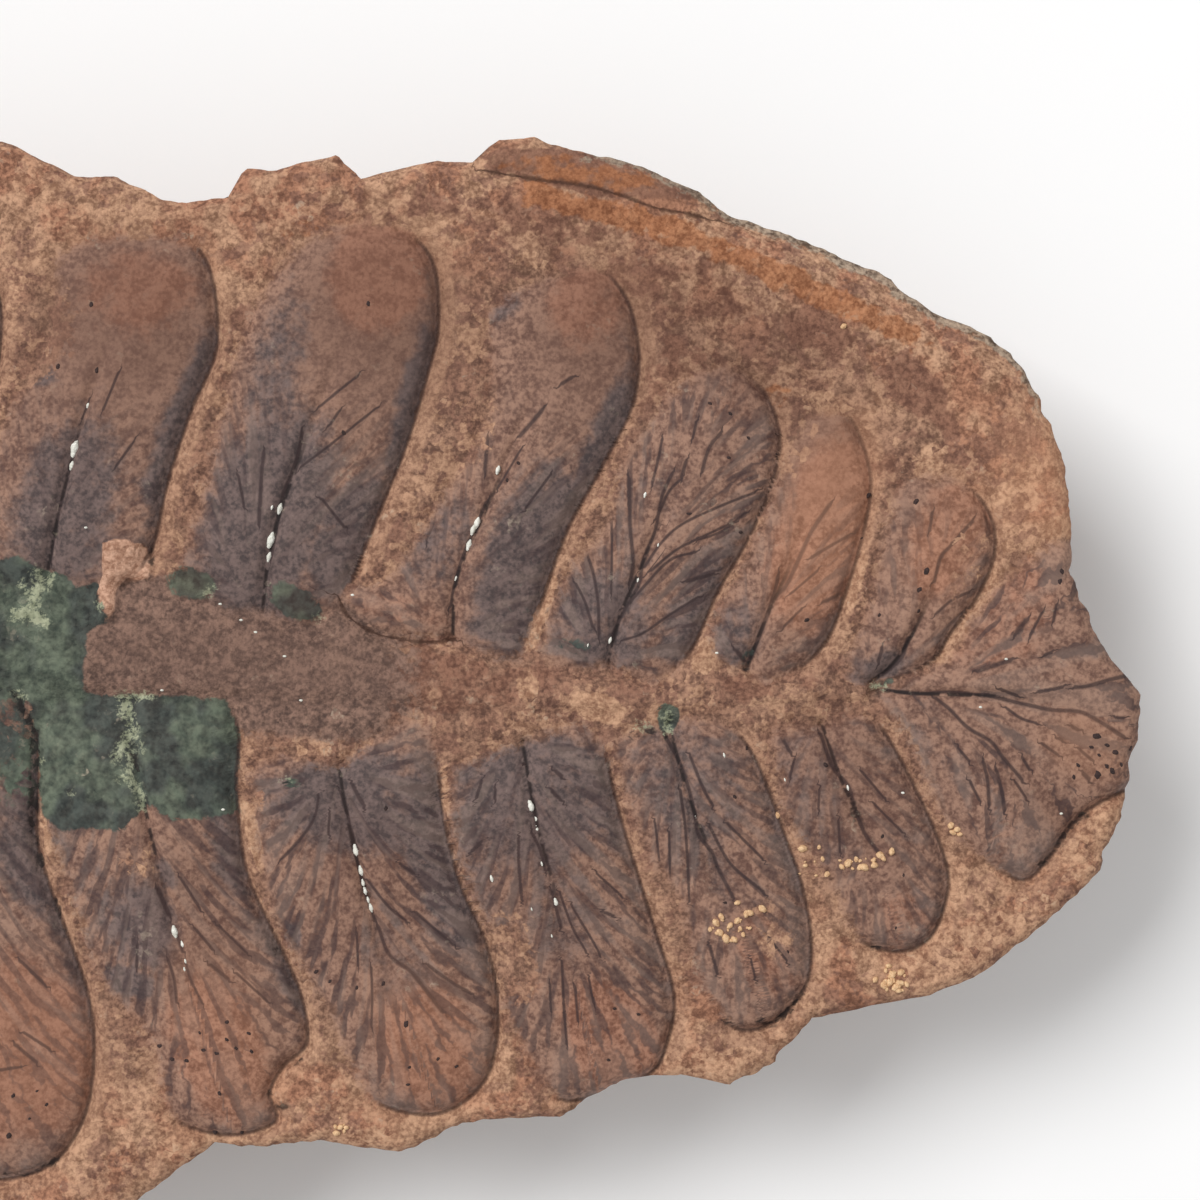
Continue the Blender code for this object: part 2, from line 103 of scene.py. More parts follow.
class Rim:
    """The stone's edge, as a radius of about 1 over the angle, both counted in the plain oval."""

    def __init__(self):
        edge = np.array(RIM) / (LENGTH / 2, WIDTH / 2)
        angles = np.arctan2(edge[:, 1], edge[:, 0])
        order = np.argsort(angles)
        self.angles = angles[order]
        self.radii = np.linalg.norm(edge, axis=1)[order]
        self.degrees = np.radians(np.arange(-180.0, 180.0))
        sharp = self.exact(self.degrees)
        reach = np.arange(-30, 31)
        weights = np.exp(-(reach / RIM_SMOOTHING_DEGREES) ** 2)
        self.soft = sum(np.roll(sharp, k) * w for k, w in zip(reach, weights)) / weights.sum()

    def exact(self, angle):
        """Return the edge's radius: ragged where it is listed, and wavy along the far end's oval."""
        from_near_end = np.abs((angle + np.pi) % (2 * np.pi) - np.pi)
        wave = FAR_RIM_WAVE * (1.0 + np.cos(FAR_RIM_WAVES * angle)) / 2.0
        listed = np.interp(angle, self.angles, self.radii, period=2 * np.pi)
        around = np.stack([np.cos(angle) * LENGTH / 2, np.sin(angle) * WIDTH / 2], axis=-1)
        nicks = bumps(around.reshape(-1, 2), RIM_NICKS, 61.0).reshape(angle.shape) / (WIDTH / 2)
        return listed - wave * ease(*FAR_RIM_STARTS, from_near_end) + nicks

    def smoothed(self, angle):
        """Return the edge's radius without its chips."""
        return np.interp(angle, self.degrees, self.soft, period=2 * np.pi)

    def place(self, angle, radius, ragged):
        """Return the point at an angle and a share of the radius; ragged is 1 for the exact edge."""
        scale = radius * (self.smoothed(angle) * (1.0 - ragged) + self.exact(angle) * ragged)
        return np.stack([scale * np.cos(angle) * LENGTH / 2, scale * np.sin(angle) * WIDTH / 2], axis=1)


rim = Rim()
print("edge radii from", round(rim.soft.min(), 3), "to", round(rim.soft.max(), 3))

# %% [markdown]
# ## The leaflets
#
# No two leaflets have the same outline, so each near one has its own short list of points, which a
# Catmull-Rom curve turns into a smooth line. Those of the far half follow a rule instead: a full,
# rounded tongue that repeats at an even pitch along the stem. Every leaflet also has a rib, the line
# that its veins leave.

# %% Outlines and ribs of the leaflets
Leaflet = namedtuple("Leaflet", "base ahead tip behind rib")

LEAFLETS = {
    "end": Leaflet(
        (40.9, 0.5),
        [(44.0, 1.5), (45.1, 2.4), (46.4, 4.6), (48.4, 6.7), (50.8, 8.1), (54.0, 7.0), (57.0, 3.0)],
        (58.0, -1.9),
        [(41.8, -0.4), (42.7, -1.6), (43.8, -4.2), (44.9, -6.2), (46.4, -7.8), (48.7, -9.1),
         (49.9, -8.2), (51.4, -6.1), (53.5, -4.8), (56.0, -4.0)],
        [(43.9, 0.3), (48.4, 0.1), (51.9, -0.7)]),
    "upper_6": Leaflet(
        (40.9, 0.7),
        [(44.0, 1.8), (45.1, 3.3), (46.5, 5.2), (47.3, 7.2), (47.2, 9.0)],
        (46.2, 10.5),
        [(39.9, 1.2), (39.8, 2.2), (40.7, 4.1), (41.5, 7.0), (41.8, 9.0), (42.8, 11.0), (44.5, 11.2)],
        [(42.5, 2.2), (44.2, 5.5)]),
    "upper_5": Leaflet(
        (34.8, 1.4),
        [(35.8, 0.8), (37.5, 1.6), (38.9, 3.0), (39.9, 5.5), (40.7, 8.3), (41.1, 10.7), (40.7, 12.8)],
        (39.8, 14.3),
        [(33.6, 1.8), (33.0, 3.0), (33.6, 4.8), (34.9, 7.0), (35.9, 9.5), (36.8, 12.0), (38.1, 14.2)],
        [(35.8, 4.1), (37.2, 7.2)]),
    "upper_4": Leaflet(
        (27.9, 1.6),
        [(30.2, 0.8), (32.0, 2.4), (33.4, 5.4), (35.0, 8.2), (36.2, 11.0), (36.5, 13.3), (35.8, 15.3)],
        (34.2, 16.6),
        [(26.2, 1.4), (24.8, 2.0), (24.6, 2.9), (25.8, 6.3), (27.7, 8.7), (28.6, 11.8), (30.2, 14.2),
         (32.0, 16.3)],
        [(28.5, 4.2), (29.5, 6.5), (31.0, 10.0)]),
    "upper_3": Leaflet(
        (20.1, 3.0),
        [(22.0, 2.2), (23.5, 2.1), (24.6, 5.0), (25.9, 8.6), (27.6, 11.7), (29.2, 15.0), (29.4, 18.0),
         (28.6, 20.5)],
        (26.8, 21.8),
        [(17.5, 3.2), (16.0, 3.6), (14.7, 4.9), (15.1, 5.6), (16.8, 6.1), (18.2, 7.8), (19.5, 10.0),
         (21.9, 14.5), (21.9, 19.0), (23.5, 20.6)],
        [(20.4, 6.2), (21.7, 9.3), (23.5, 13.5)]),
    "upper_2": Leaflet(
        (10.6, 4.4),
        [(12.5, 3.6), (14.2, 4.4), (14.8, 5.3), (16.4, 9.3), (17.8, 12.8), (18.9, 16.5), (19.4, 19.0),
         (19.0, 22.2)],
        (16.8, 23.9),
        [(8.8, 4.5), (7.0, 6.0), (6.7, 7.4), (7.7, 10.6), (8.8, 15.0), (9.5, 18.0), (11.2, 21.4),
         (13.4, 23.4)],
        [(11.2, 8.1), (12.7, 12.5), (14.8, 18.0)]),
    "upper_1": Leaflet(
        (-0.2, 6.1),
        [(2.0, 5.5), (4.0, 6.0), (5.1, 7.6), (5.9, 11.0), (7.0, 14.4), (8.3, 17.8), (7.8, 21.9)],
        (5.8, 23.3),
        [(-2.0, 5.5), (-3.5, 7.0), (-3.2, 11.0), (-2.2, 14.0), (-0.6, 17.0), (0.1, 20.0), (0.2, 22.1),
         (2.0, 23.1)],
        [(0.6, 9.6), (1.6, 13.5), (3.0, 17.5)]),
    "lower_6": Leaflet(
        (38.6, -1.1),
        [(40.7, -0.8), (41.6, -1.4), (43.0, -3.8), (44.4, -6.8), (45.0, -8.8), (44.8, -10.5),
         (44.1, -12.0)],
        (42.8, -12.7),
        [(37.0, -1.4), (36.1, -1.9), (36.4, -4.1), (36.9, -6.0), (38.4, -8.1), (39.1, -9.1),
         (40.0, -11.5), (41.1, -12.4)],
        [(39.6, -4.1), (41.2, -7.4)]),
    "lower_5": Leaflet(
        (30.9, -1.1),
        [(32.8, -0.9), (34.0, -1.3), (35.4, -3.2), (36.8, -6.9), (37.6, -9.2), (38.1, -12.0),
         (37.8, -14.5)],
        (36.0, -16.4),
        [(29.1, -1.6), (28.1, -2.2), (28.7, -4.7), (29.8, -7.5), (31.5, -10.2), (32.0, -12.7),
         (32.9, -14.8), (34.2, -16.5)],
        [(32.0, -5.0), (33.3, -8.3), (34.8, -12.5)]),
    "lower_4": Leaflet(
        (23.6, -2.0),
        [(25.1, -1.5), (26.5, -1.1), (27.6, -2.1), (28.2, -4.6), (28.9, -7.2), (30.2, -11.4),
         (31.2, -14.8), (30.9, -17.2), (30.0, -18.9)],
        (27.5, -20.0),
        [(21.5, -2.8), (20.3, -3.2), (20.0, -4.5), (20.25, -7.2), (21.1, -9.6), (22.2, -12.0),
         (22.6, -14.2), (22.7, -15.8), (23.9, -18.2), (25.4, -20.1)],
        [(24.4, -6.3), (25.4, -10.1), (26.5, -15.0)]),
    "lower_3": Leaflet(
        (14.4, -3.1),
        [(17.5, -1.1), (18.8, -1.4), (19.4, -3.2), (19.6, -5.4), (20.4, -9.0), (21.8, -12.3),
         (22.4, -15.5), (21.8, -19.0)],
        (19.5, -20.8),
        [(12.0, -2.6), (9.9, -3.6), (10.1, -5.0), (10.4, -7.5), (11.0, -10.6), (12.4, -13.1),
         (13.9, -15.6), (14.9, -18.2), (16.4, -20.3)],
        [(15.2, -7.2), (16.2, -10.8), (17.5, -15.0)]),
    "lower_2": Leaflet(
        (3.9, 0.2),
        [(6.4, 0.2), (8.6, 0.0), (9.4, -1.6), (9.3, -4.5), (9.8, -8.6), (11.4, -12.2), (12.5, -14.8),
         (12.8, -17.2), (11.6, -18.4), (10.9, -19.8), (11.2, -21.2)],
        (9.1, -21.9),
        [(1.8, 0.0), (-0.4, -0.6), (-0.5, -3.5), (-0.2, -6.2), (1.3, -10.6), (2.6, -14.2),
         (4.9, -16.8), (5.7, -20.4), (7.0, -21.5)],
        [(4.8, -5.3), (6.3, -11.5), (7.8, -16.5)]),
    "lower_1": Leaflet(
        (-6.8, 0.0),
        [(-3.5, 0.5), (-2.0, 0.5), (-0.8, -1.6), (-0.6, -3.5), (-0.7, -7.2), (0.5, -11.0),
         (1.8, -14.8), (2.1, -17.8), (1.5, -21.2), (-0.5, -23.6)],
        (-4.0, -24.0),
        [(-9.0, 0.0), (-10.8, -2.0), (-10.8, -7.5), (-10.0, -12.5), (-9.0, -17.5), (-7.5, -21.5)],
        [(-6.0, -5.0), (-5.2, -12.5)]),
}
print("near leaflets:", len(LEAFLETS))

# %% The far leaflets, by rule
FAR_LEAFLETS = 4
LEAFLET_PITCH = 10.8
FAR_UPPER_BASE = (-0.4, 6.2)
FAR_UPPER_TIP = (5.4, 23.6)
FAR_LOWER_BASE = (-6.8, 0.0)
FAR_LOWER_TIP = (-2.4, -23.4)
FAR_HALF_WIDTH = 5.0
FAR_FULLNESS = 2.8
FAR_SHRINK = 0.045


def far_leaflet(number, base, tip):
    """Return a far leaflet: a full, rounded tongue that repeats the near ones a pitch further back."""
    shift = np.array([-LEAFLET_PITCH * number, 0.0])
    start = np.array(base) + shift
    run = (np.array(tip) + shift - start) * (1.0 - FAR_SHRINK * number)
    across = np.array([run[1], -run[0]]) / np.linalg.norm(run)
    if run[1] < 0.0:
        across = -across
    ahead = []
    behind = []
    for along in (0.02, 0.12, 0.35, 0.65, 0.88, 0.98):
        half = FAR_HALF_WIDTH * (1.0 - abs(2.0 * along - 1.0) ** FAR_FULLNESS) ** (1.0 / FAR_FULLNESS)
        ahead.append(tuple(start + run * along + across * half))
        behind.append(tuple(start + run * along - across * half))
    return Leaflet(tuple(start), ahead, tuple(start + run), behind, [tuple(start + run * 0.5)])


leaflets = list(LEAFLETS.values())
for number in range(1, FAR_LEAFLETS + 1):
    leaflets.append(far_leaflet(number, FAR_UPPER_BASE, FAR_UPPER_TIP))
    leaflets.append(far_leaflet(number, FAR_LOWER_BASE, FAR_LOWER_TIP))
print("leaflets in all:", len(leaflets))

# %% [markdown]
# ## Distances to lines
#
# Nearly all of the relief and colour depends on how far a point is from some line: a leaflet's margin,
# its rib, the stem or the stone's edge. Blender has nodes for that, but plain array maths measures all
# of the mesh's points at once and is easy to read, so the lines are sampled here and measured in numpy.

# %% Lines and how far points are from them
CURVE_STEPS = 6


def smooth_line(points, closed):
    """Return a smooth line through the points, as a Catmull-Rom curve."""
    knots = np.array(points, dtype=float)
    count = len(knots)
    if not closed:
        first = 2.0 * knots[0] - knots[1]
        last = 2.0 * knots[-1] - knots[-2]
        knots = np.vstack([first, knots, last])
    line = []
    for i in range(count if closed else count - 1):
        if closed:
            a, b, c, d = (knots[(i + k) % count] for k in (-1, 0, 1, 2))
        else:
            a, b, c, d = knots[i:i + 4]
        for t in np.arange(CURVE_STEPS) / CURVE_STEPS:
            line.append(0.5 * (2 * b + (c - a) * t + (2 * a - 5 * b + 4 * c - d) * t * t
                               + (3 * b - a - 3 * c + d) * t ** 3))
    line.append(line[0] if closed else knots[-2])
    return np.array(line)


def nearest_on_line(points, line):
    """Return each point's distance to a line, the line's length before that place, and the place."""
    best = np.full(len(points), np.inf)
    passed = np.zeros(len(points))
    place = np.zeros((len(points), 2))
    before = 0.0
    for start, end in zip(line[:-1], line[1:]):
        run = end - start
        length = math.hypot(*run)
        t = np.clip((points - start) @ run / max(length * length, 1e-12), 0.0, 1.0)
        foot = start + t[:, None] * run
        distance = np.linalg.norm(points - foot, axis=1)
        closer = distance < best
        best[closer] = distance[closer]
        passed[closer] = before + t[closer] * length
        place[closer] = foot[closer]
        before += length
    return best, passed, place


def inside_line(points, line):
    """Return which points a closed line goes round, by counting the edges that they see to +X."""
    inside = np.zeros(len(points), dtype=bool)
    for start, end in zip(line[:-1], line[1:]):
        if start[1] == end[1]:
            continue
        spans = (start[1] > points[:, 1]) != (end[1] > points[:, 1])
        x = start[0] + (points[:, 1] - start[1]) * (end[0] - start[0]) / (end[1] - start[1])
        inside ^= spans & (points[:, 0] < x)
    return inside


def depth_in_line(points, line):
    """Return how deep the points lie inside a closed line, negative outside, and the way out of it."""
    distance, _, place = nearest_on_line(points, line)
    side = np.where(inside_line(points, line), 1.0, -1.0)
    outward = (place - points) / np.maximum(distance, 1e-9)[:, None] * side[:, None]
    return distance * side, outward


TEST_SQUARE = np.array([[-1, -1], [1, -1], [1, 1], [-1, 1], [-1, -1]])
test_depth, _ = depth_in_line(np.array([[0.0, 0.0]]), TEST_SQUARE)
print("depth in the middle of a square of 2 mm:", test_depth[0])

# %% [markdown]
# ## Where the veins run
#
# In this kind of leaf the veins leave the rib at a narrow angle, arch outwards and fork on the way to the
# margin. Some also fan out from the leaflet's base, and others from the place where the rib ends, half
# way to the tip. A drawing of some hundred curves would do, but a coordinate is simpler: a number that
# stays the same along each vein. Along the rib it is the place where a vein leaves it: the place beside
# the point less the arch, a term that grows away from the rib, fast at first and then slower. In the two
# fans it is the share of that arch which a vein takes. A shader can draw and fork the lines of equal
# number at any sharpness. How they arch and how clearly they show differs from leaflet to leaflet.

# %% Everything that the surface needs to know about the leaf
NEAR_MARGIN = 4.0
FAR_FROM_RIB = 9.0
RIB_MIDDLE = (0.15, 0.85)
FADE_BEFORE = 0.2
FADE_AFTER = 0.1
SIDE_SHIFT = 0.7
LEAFLET_SHIFT = 7.31
VeinLook = namedtuple("VeinLook", "straight arch rib_end fan strength fade_from")
VEIN_LOOKS = {
    "end": VeinLook(0.0, 0.45, 0.15, 8.0, 1.0, 1.5), "upper_6": VeinLook(0.9, 1.0, 0.5, 3.0, 0.7, 0.9),
    "upper_5": VeinLook(0.9, 1.0, 0.5, 4.0, 0.8, 0.75), "upper_4": VeinLook(0.8, 1.1, 0.55, 4.0, 1.0, 1.0),
    "upper_3": VeinLook(1.1, 0.9, 0.4, 4.0, 0.8, 0.62), "upper_2": VeinLook(1.1, 0.9, 0.4, 4.0, 0.7, 0.6),
    "upper_1": VeinLook(1.1, 0.9, 0.4, 4.0, 0.45, 0.55), "lower_6": VeinLook(0.8, 0.9, 0.45, 4.0, 0.7, 1.5),
    "lower_5": VeinLook(0.8, 0.9, 0.45, 4.0, 0.8, 1.5), "lower_4": VeinLook(0.8, 0.9, 0.45, 4.0, 0.9, 1.5),
    "lower_3": VeinLook(0.8, 0.9, 0.45, 4.0, 1.0, 1.5), "lower_2": VeinLook(0.8, 0.9, 0.45, 4.0, 0.9, 1.5),
    "lower_1": VeinLook(0.8, 0.9, 0.45, 4.0, 0.7, 1.5),
}
FAR_VEINS = VeinLook(0.8, 1.0, 0.45, 4.0, 0.75, 1.0)
vein_looks = [VEIN_LOOKS.get(name, FAR_VEINS) for name in LEAFLETS]
vein_looks += [FAR_VEINS] * (len(leaflets) - len(vein_looks))


def rib_coordinates(points, leaflet, outline, look):
    """Return the distance from the rib, the place along it, the vein number, and how far out the vein is."""
    rib = smooth_line([leaflet.base, *leaflet.rib, leaflet.tip], False)
    distance, passed, place = nearest_on_line(points, rib)
    length = np.linalg.norm(np.diff(rib, axis=0), axis=1).sum()
    start_run = (rib[1] - rib[0]) / np.linalg.norm(rib[1] - rib[0])
    end_run = (rib[-1] - rib[-2]) / np.linalg.norm(rib[-1] - rib[-2])
    beyond = np.minimum((points - rib[0]) @ start_run, 0.0) * (passed <= 0.0)
    beyond += np.maximum((points - rib[-1]) @ end_run, 0.0) * (passed >= length - 1e-6)
    along = passed + beyond
    sideways = np.sqrt(np.maximum(distance ** 2 - beyond ** 2, 0.0))
    reach, stretch, _ = nearest_on_line(outline, rib)
    middle = (stretch > RIB_MIDDLE[0] * length) & (stretch < RIB_MIDDLE[1] * length)
    half_width = reach[middle].max()
    across = sideways / half_width
    side = np.where((points - place) @ np.array([-start_run[1], start_run[0]]) > 0.0, 1.0, -1.0)
    bend = half_width * (look.straight * across + look.arch * (1.0 - (1.0 - np.minimum(across, 1.0)) ** 2))
    bend = np.maximum(bend, 1e-3)
    past_rib = np.maximum(along - look.rib_end * length, 1e-3)
    base_fan = half_width * (look.straight + look.arch) * np.clip(along / bend - 1.0, -3.0, 0.0)
    tip_fan = look.rib_end * length + look.fan * (1.0 - bend / past_rib)
    vein = np.where(along < bend, base_fan, np.where(past_rib > bend, tip_fan, along - bend))
    outwards = np.hypot(across, past_rib / (length * (1.0 - look.rib_end)))
    return distance * side, along / length, vein + SIDE_SHIFT * side, outwards


def leaf_fields(points):
    """Return, for each point, what the leaflet that it lies in or next to says about it."""
    count = len(points)
    found = {"depth": np.full(count, -NEAR_MARGIN), "outward": np.zeros((count, 2))}
    found["rib"] = np.full(count, FAR_FROM_RIB)
    for name in ("along", "vein", "across", "strength"):
        found[name] = np.zeros(count)
    for number, (leaflet, look) in enumerate(zip(leaflets, vein_looks)):
        outline = smooth_line([leaflet.base, *leaflet.ahead, leaflet.tip, *leaflet.behind[::-1]], True)
        low = outline.min(0) - NEAR_MARGIN
        high = outline.max(0) + NEAR_MARGIN
        near = np.flatnonzero(np.all((points > low) & (points < high), axis=1))
        if not len(near):
            continue
        depth, outward = depth_in_line(points[near], outline)
        rib, along, vein, across = rib_coordinates(points[near], leaflet, outline, look)
        closer = depth > found["depth"][near]
        into = near[closer]
        found["depth"][into] = depth[closer]
        found["outward"][into] = outward[closer]
        found["rib"][into] = rib[closer]
        found["along"][into] = along[closer]
        found["vein"][into] = vein[closer] + LEAFLET_SHIFT * number
        found["across"][into] = across[closer]
        shown = 1.0 - ease(look.fade_from - FADE_BEFORE, look.fade_from + FADE_AFTER, along[closer])
        found["strength"][into] = look.strength * shown
    return found


base_fields = leaf_fields(np.array([LEAFLETS["upper_2"].rib[0]]))
print("at a rib's first point: depth", base_fields["depth"].round(2), "mm, along",
      base_fields["along"].round(2))

# %% [markdown]
# ## The height of the face
#
# Each leaflet is a cushion: it rises from a crease along its margin. The crease is crisp on the margins
# that face away from the light and soft on the others, because the leaf was pressed a little sideways.
# A groove marks the rib, the stem is a low bank, and the stone between the leaflets is a rough strip.
# All of this is one sum of simple terms, so that each can be tuned alone. The large terms are those of
# the solid in the frame, and the small ones, such as grain and the main veins, are added here.

# %% Large relief, as in the solid
FACE_HEIGHT = 13.6
FACE_CROWN = 0.7
FACE_WAVE = 0.45
FACE_WAVE_LENGTH = 26.0
CUSHION_HEIGHT = 0.8
CUSHION_SHOULDER = 1.9
CREASE_DEPTH = 0.40
CREASE_WIDTH = 0.28
CREASE_SOFT_SHARE = 0.12
CRISP_FROM_BASE = (-0.02, 0.14)
SHADE_SIDE = np.array([0.8, -0.6])
MIDRIB_DEPTH = 0.40
MIDRIB_WIDTH = 0.30
MIDRIB_FADE = 0.75
STRIP_RISE = 0.25
STRIP_SHOULDER = 0.8
STEM_RISE = 0.22
STEM_HALF_WIDTH = (2.2, 0.4)
STEM_EDGE = (0.7, 1.3)
STEM_LINE = [(-56.0, 3.1), (-25.0, 3.1), (-2.5, 2.9), (12.0, 1.8), (28.0, 0.3), (41.0, 0.5)]


def crispness(fields):
    """Return how crisp the nearest margin is: 1 where it faces away from the light, less elsewhere."""
    turned = ease(-0.5, 0.5, fields["outward"] @ SHADE_SIDE) * ease(*CRISP_FROM_BASE, fields["along"])
    return CREASE_SOFT_SHARE + (1.0 - CREASE_SOFT_SHARE) * turned


def stem_share(points, fields):
    """Return 1 on the stem and 0 off it."""
    stem = smooth_line(STEM_LINE, False)
    distance, passed, _ = nearest_on_line(points, stem)
    thinner = ease(0.5, 1.0, passed / passed.max()) if len(points) > 1 else 0.0
    half = STEM_HALF_WIDTH[0] + (STEM_HALF_WIDTH[1] - STEM_HALF_WIDTH[0]) * thinner
    return (1.0 - ease(half * STEM_EDGE[0], half * STEM_EDGE[1], distance)) * (fields["depth"] < 0.0)


def leaf_relief(fields, stem):
    """Return how far the leaf stands above the plain face."""
    depth = fields["depth"]
    cushion = CUSHION_HEIGHT * (1.0 - np.exp(-np.maximum(depth, 0.0) / CUSHION_SHOULDER))
    strip = STRIP_RISE * (1.0 - np.exp(-np.maximum(-depth, 0.0) / STRIP_SHOULDER))
    crease = CREASE_DEPTH * crispness(fields) * np.exp(-(depth / CREASE_WIDTH) ** 2)
    fade = 1.0 - ease(MIDRIB_FADE * 0.5, MIDRIB_FADE, fields["along"])
    groove = MIDRIB_DEPTH * np.exp(-(fields["rib"] / MIDRIB_WIDTH) ** 2) * fade * (depth > 0.0)
    return cushion + strip - crease - groove + STEM_RISE * stem


# %% The rim's bevel, the cracks, and the chip of stone on a leaflet
RIM_BEVEL_WIDTH = 0.6
RIM_BEVEL_DROP = 0.45
BROAD_BEVEL_WIDTH = 2.1
BROAD_BEVEL_DROP = 1.1
BROAD_BEVEL_MIDDLE_DEGREES = 45.0
BROAD_BEVEL_SPREAD_DEGREES = 17.0
CRACKS = [
    [(21.5, 26.6), (24.5, 26.1), (26.6, 25.8), (28.5, 25.3), (30.2, 24.7), (32.0, 24.4), (33.2, 24.1)],
    [(14.4, 5.2), (14.9, 4.2), (16.1, 3.4), (17.2, 3.1), (18.6, 2.9), (20.2, 3.0)],
]
CRACK_DEPTH = 0.28
CRACK_WIDTH = 0.18
CRACK_SLANT = 0.3
CHIP = [
    (2.8, 7.8), (3.4, 8.0), (4.5, 7.9), (5.0, 7.4), (5.1, 6.2), (4.8, 6.0), (3.8, 6.1), (3.4, 5.5),
    (3.3, 4.4), (3.0, 4.0), (2.5, 4.5), (2.4, 5.4), (2.7, 6.2), (2.8, 7.8),
]
CHIP_RISE = 0.45
CHIP_EDGE = 0.15


def rim_distance(points):
    """Return how far the points are from the stone's edge."""
    every = np.radians(np.arange(0.0, 360.5, 0.5))
    edge = rim.place(every, np.ones(len(every)), 1.0)
    return nearest_on_line(points, edge)[0]


def broad_bevel_share(points):
    """Return 1 along the upper right edge, where the bevel is broad, and 0 elsewhere."""
    degrees = np.degrees(np.arctan2(points[:, 1] / WIDTH, points[:, 0] / LENGTH))
    return np.exp(-((degrees - BROAD_BEVEL_MIDDLE_DEGREES) / BROAD_BEVEL_SPREAD_DEGREES) ** 4)


def rim_bevel(points, from_rim):
    """Return how far the face falls away towards the rim."""
    broad = broad_bevel_share(points)
    width = RIM_BEVEL_WIDTH + (BROAD_BEVEL_WIDTH - RIM_BEVEL_WIDTH) * broad
    drop = RIM_BEVEL_DROP + (BROAD_BEVEL_DROP - RIM_BEVEL_DROP) * broad
    return drop * (1.0 - np.clip(from_rim / width, 0.0, 1.0)) ** 1.5


def crack_distance(points):
    """Return the distance to the nearest crack, negative on one side of it."""
    best = np.full(len(points), np.inf)
    for crack in CRACKS:
        distance, _, place = nearest_on_line(points, smooth_line(crack, False))
        off = points - place
        side = np.where(off[:, 1] + off[:, 0] * CRACK_SLANT > 0.0, 1.0, -1.0)
        best = np.where(distance < np.abs(best), distance * side, best)
    return best


def chip_share(points):
    """Return 1 on the chip of stone that still covers part of a leaflet."""
    depth, _ = depth_in_line(points, np.array(CHIP))
    return ease(-CHIP_EDGE, CHIP_EDGE, depth)


# %% Fine relief
ROUGH_BUMPS = ((2.6, 0.10), (1.1, 0.07), (0.5, 0.045))
SMOOTH_BUMPS = ((3.0, 0.10), (0.8, 0.022))
VEIN_PITCH = 3.2
VEIN_HEIGHT = 0.04
VEIN_RIDGE_WIDTH = 0.26
FORK_SPREAD = 0.25


def vein_ridges(fields):
    """Return the height of the main veins: the veins that the shader draws, before they fork."""
    phase = fields["vein"] / VEIN_PITCH
    from_line = np.abs(phase - np.floor(phase) - 0.5)
    forked = np.abs(from_line - FORK_SPREAD * ease(0.1, 0.5, fields["across"]))
    line = np.exp(-(forked * VEIN_PITCH / VEIN_RIDGE_WIDTH) ** 2)
    return VEIN_HEIGHT * line * ease(0.1, 0.6, fields["depth"]) * fields["strength"]


def face_height(points, fields):
    """Return the height of the split face at each point."""
    oval_radius = np.hypot(points[:, 0] / (LENGTH / 2), points[:, 1] / (WIDTH / 2))
    angle = np.arctan2(points[:, 1] / WIDTH, points[:, 0] / LENGTH)
    crown = FACE_CROWN * (oval_radius / rim.smoothed(angle)) ** 4
    wave = FACE_WAVE * noise_at(points, FACE_WAVE_LENGTH, 3.0)
    from_rim = rim_distance(points)
    plain = FACE_HEIGHT + wave - crown + leaf_relief(fields, stem_share(points, fields))
    plain = plain - rim_bevel(points, from_rim)
    plain = plain - CRACK_DEPTH * np.exp(-(crack_distance(points) / CRACK_WIDTH) ** 2)
    chip = chip_share(points)
    leaf = ease(0.0, 0.5, fields["depth"]) * (1.0 - chip)
    rough = bumps(points, ROUGH_BUMPS, 11.0)
    smooth = bumps(points, SMOOTH_BUMPS, 29.0)
    fine = rough * (1.0 - leaf) + (smooth - vein_ridges(fields)) * leaf
    return plain + fine + CHIP_RISE * chip


middle = np.array([[27.5, 5.0]])
print("face height in the middle of the view, mm:", face_height(middle, leaf_fields(middle)).round(2))

# %% [markdown]
# ## The stone's mesh
#
# A disc made of rings crowds its vertices in the middle, and a cut-out grid has a stepped edge. A square
# grid that is bent into the round has neither fault: its rings of squares become rings of the disc. The
# columns are crowded a little towards the near end, where the real leaflets are. From the edge the mesh
# goes down in rings and turns under, and what would pass below the surface that the stone rests on is
# laid flat on it.

# %% Bend a square grid into the face, and add the back in rings
FACE_CELLS = (380, 196)
NEAR_CROWDING = 0.15
CROWDING_LIMITS = (0.3, 5.0)
TOO_CROWDED = (2.0, 3.6)
RIM_BLEND_POWER = 14
BACK_RINGS = 14
BACK_FLOOR_SCALE = 0.25
BACK_BELOW_REST = 1.3
BACK_TUCK = 0.85
BACK_FALL = 1.2
RAGGED_FADE = 3
BACK_LUMP = 0.5
BACK_LUMP_LENGTH = 14.0
BACK_BUMPS = ((6.0, 0.25), (2.2, 0.14), (0.9, 0.06))


def disc_from_square(a, b):
    """Return the angle and radius in a round disc of points in a square, ring by ring."""
    wide = np.abs(a) >= np.abs(b)
    safe_a = np.where(a == 0.0, 1.0, a)
    safe_b = np.where(b == 0.0, 1.0, b)
    quarter = np.pi / 4
    angle = np.where(wide, quarter * b / safe_a, np.pi / 2 - quarter * a / safe_b)
    signed = np.where(wide, a, b)
    return np.where(signed < 0.0, angle + np.pi, angle), np.abs(signed)


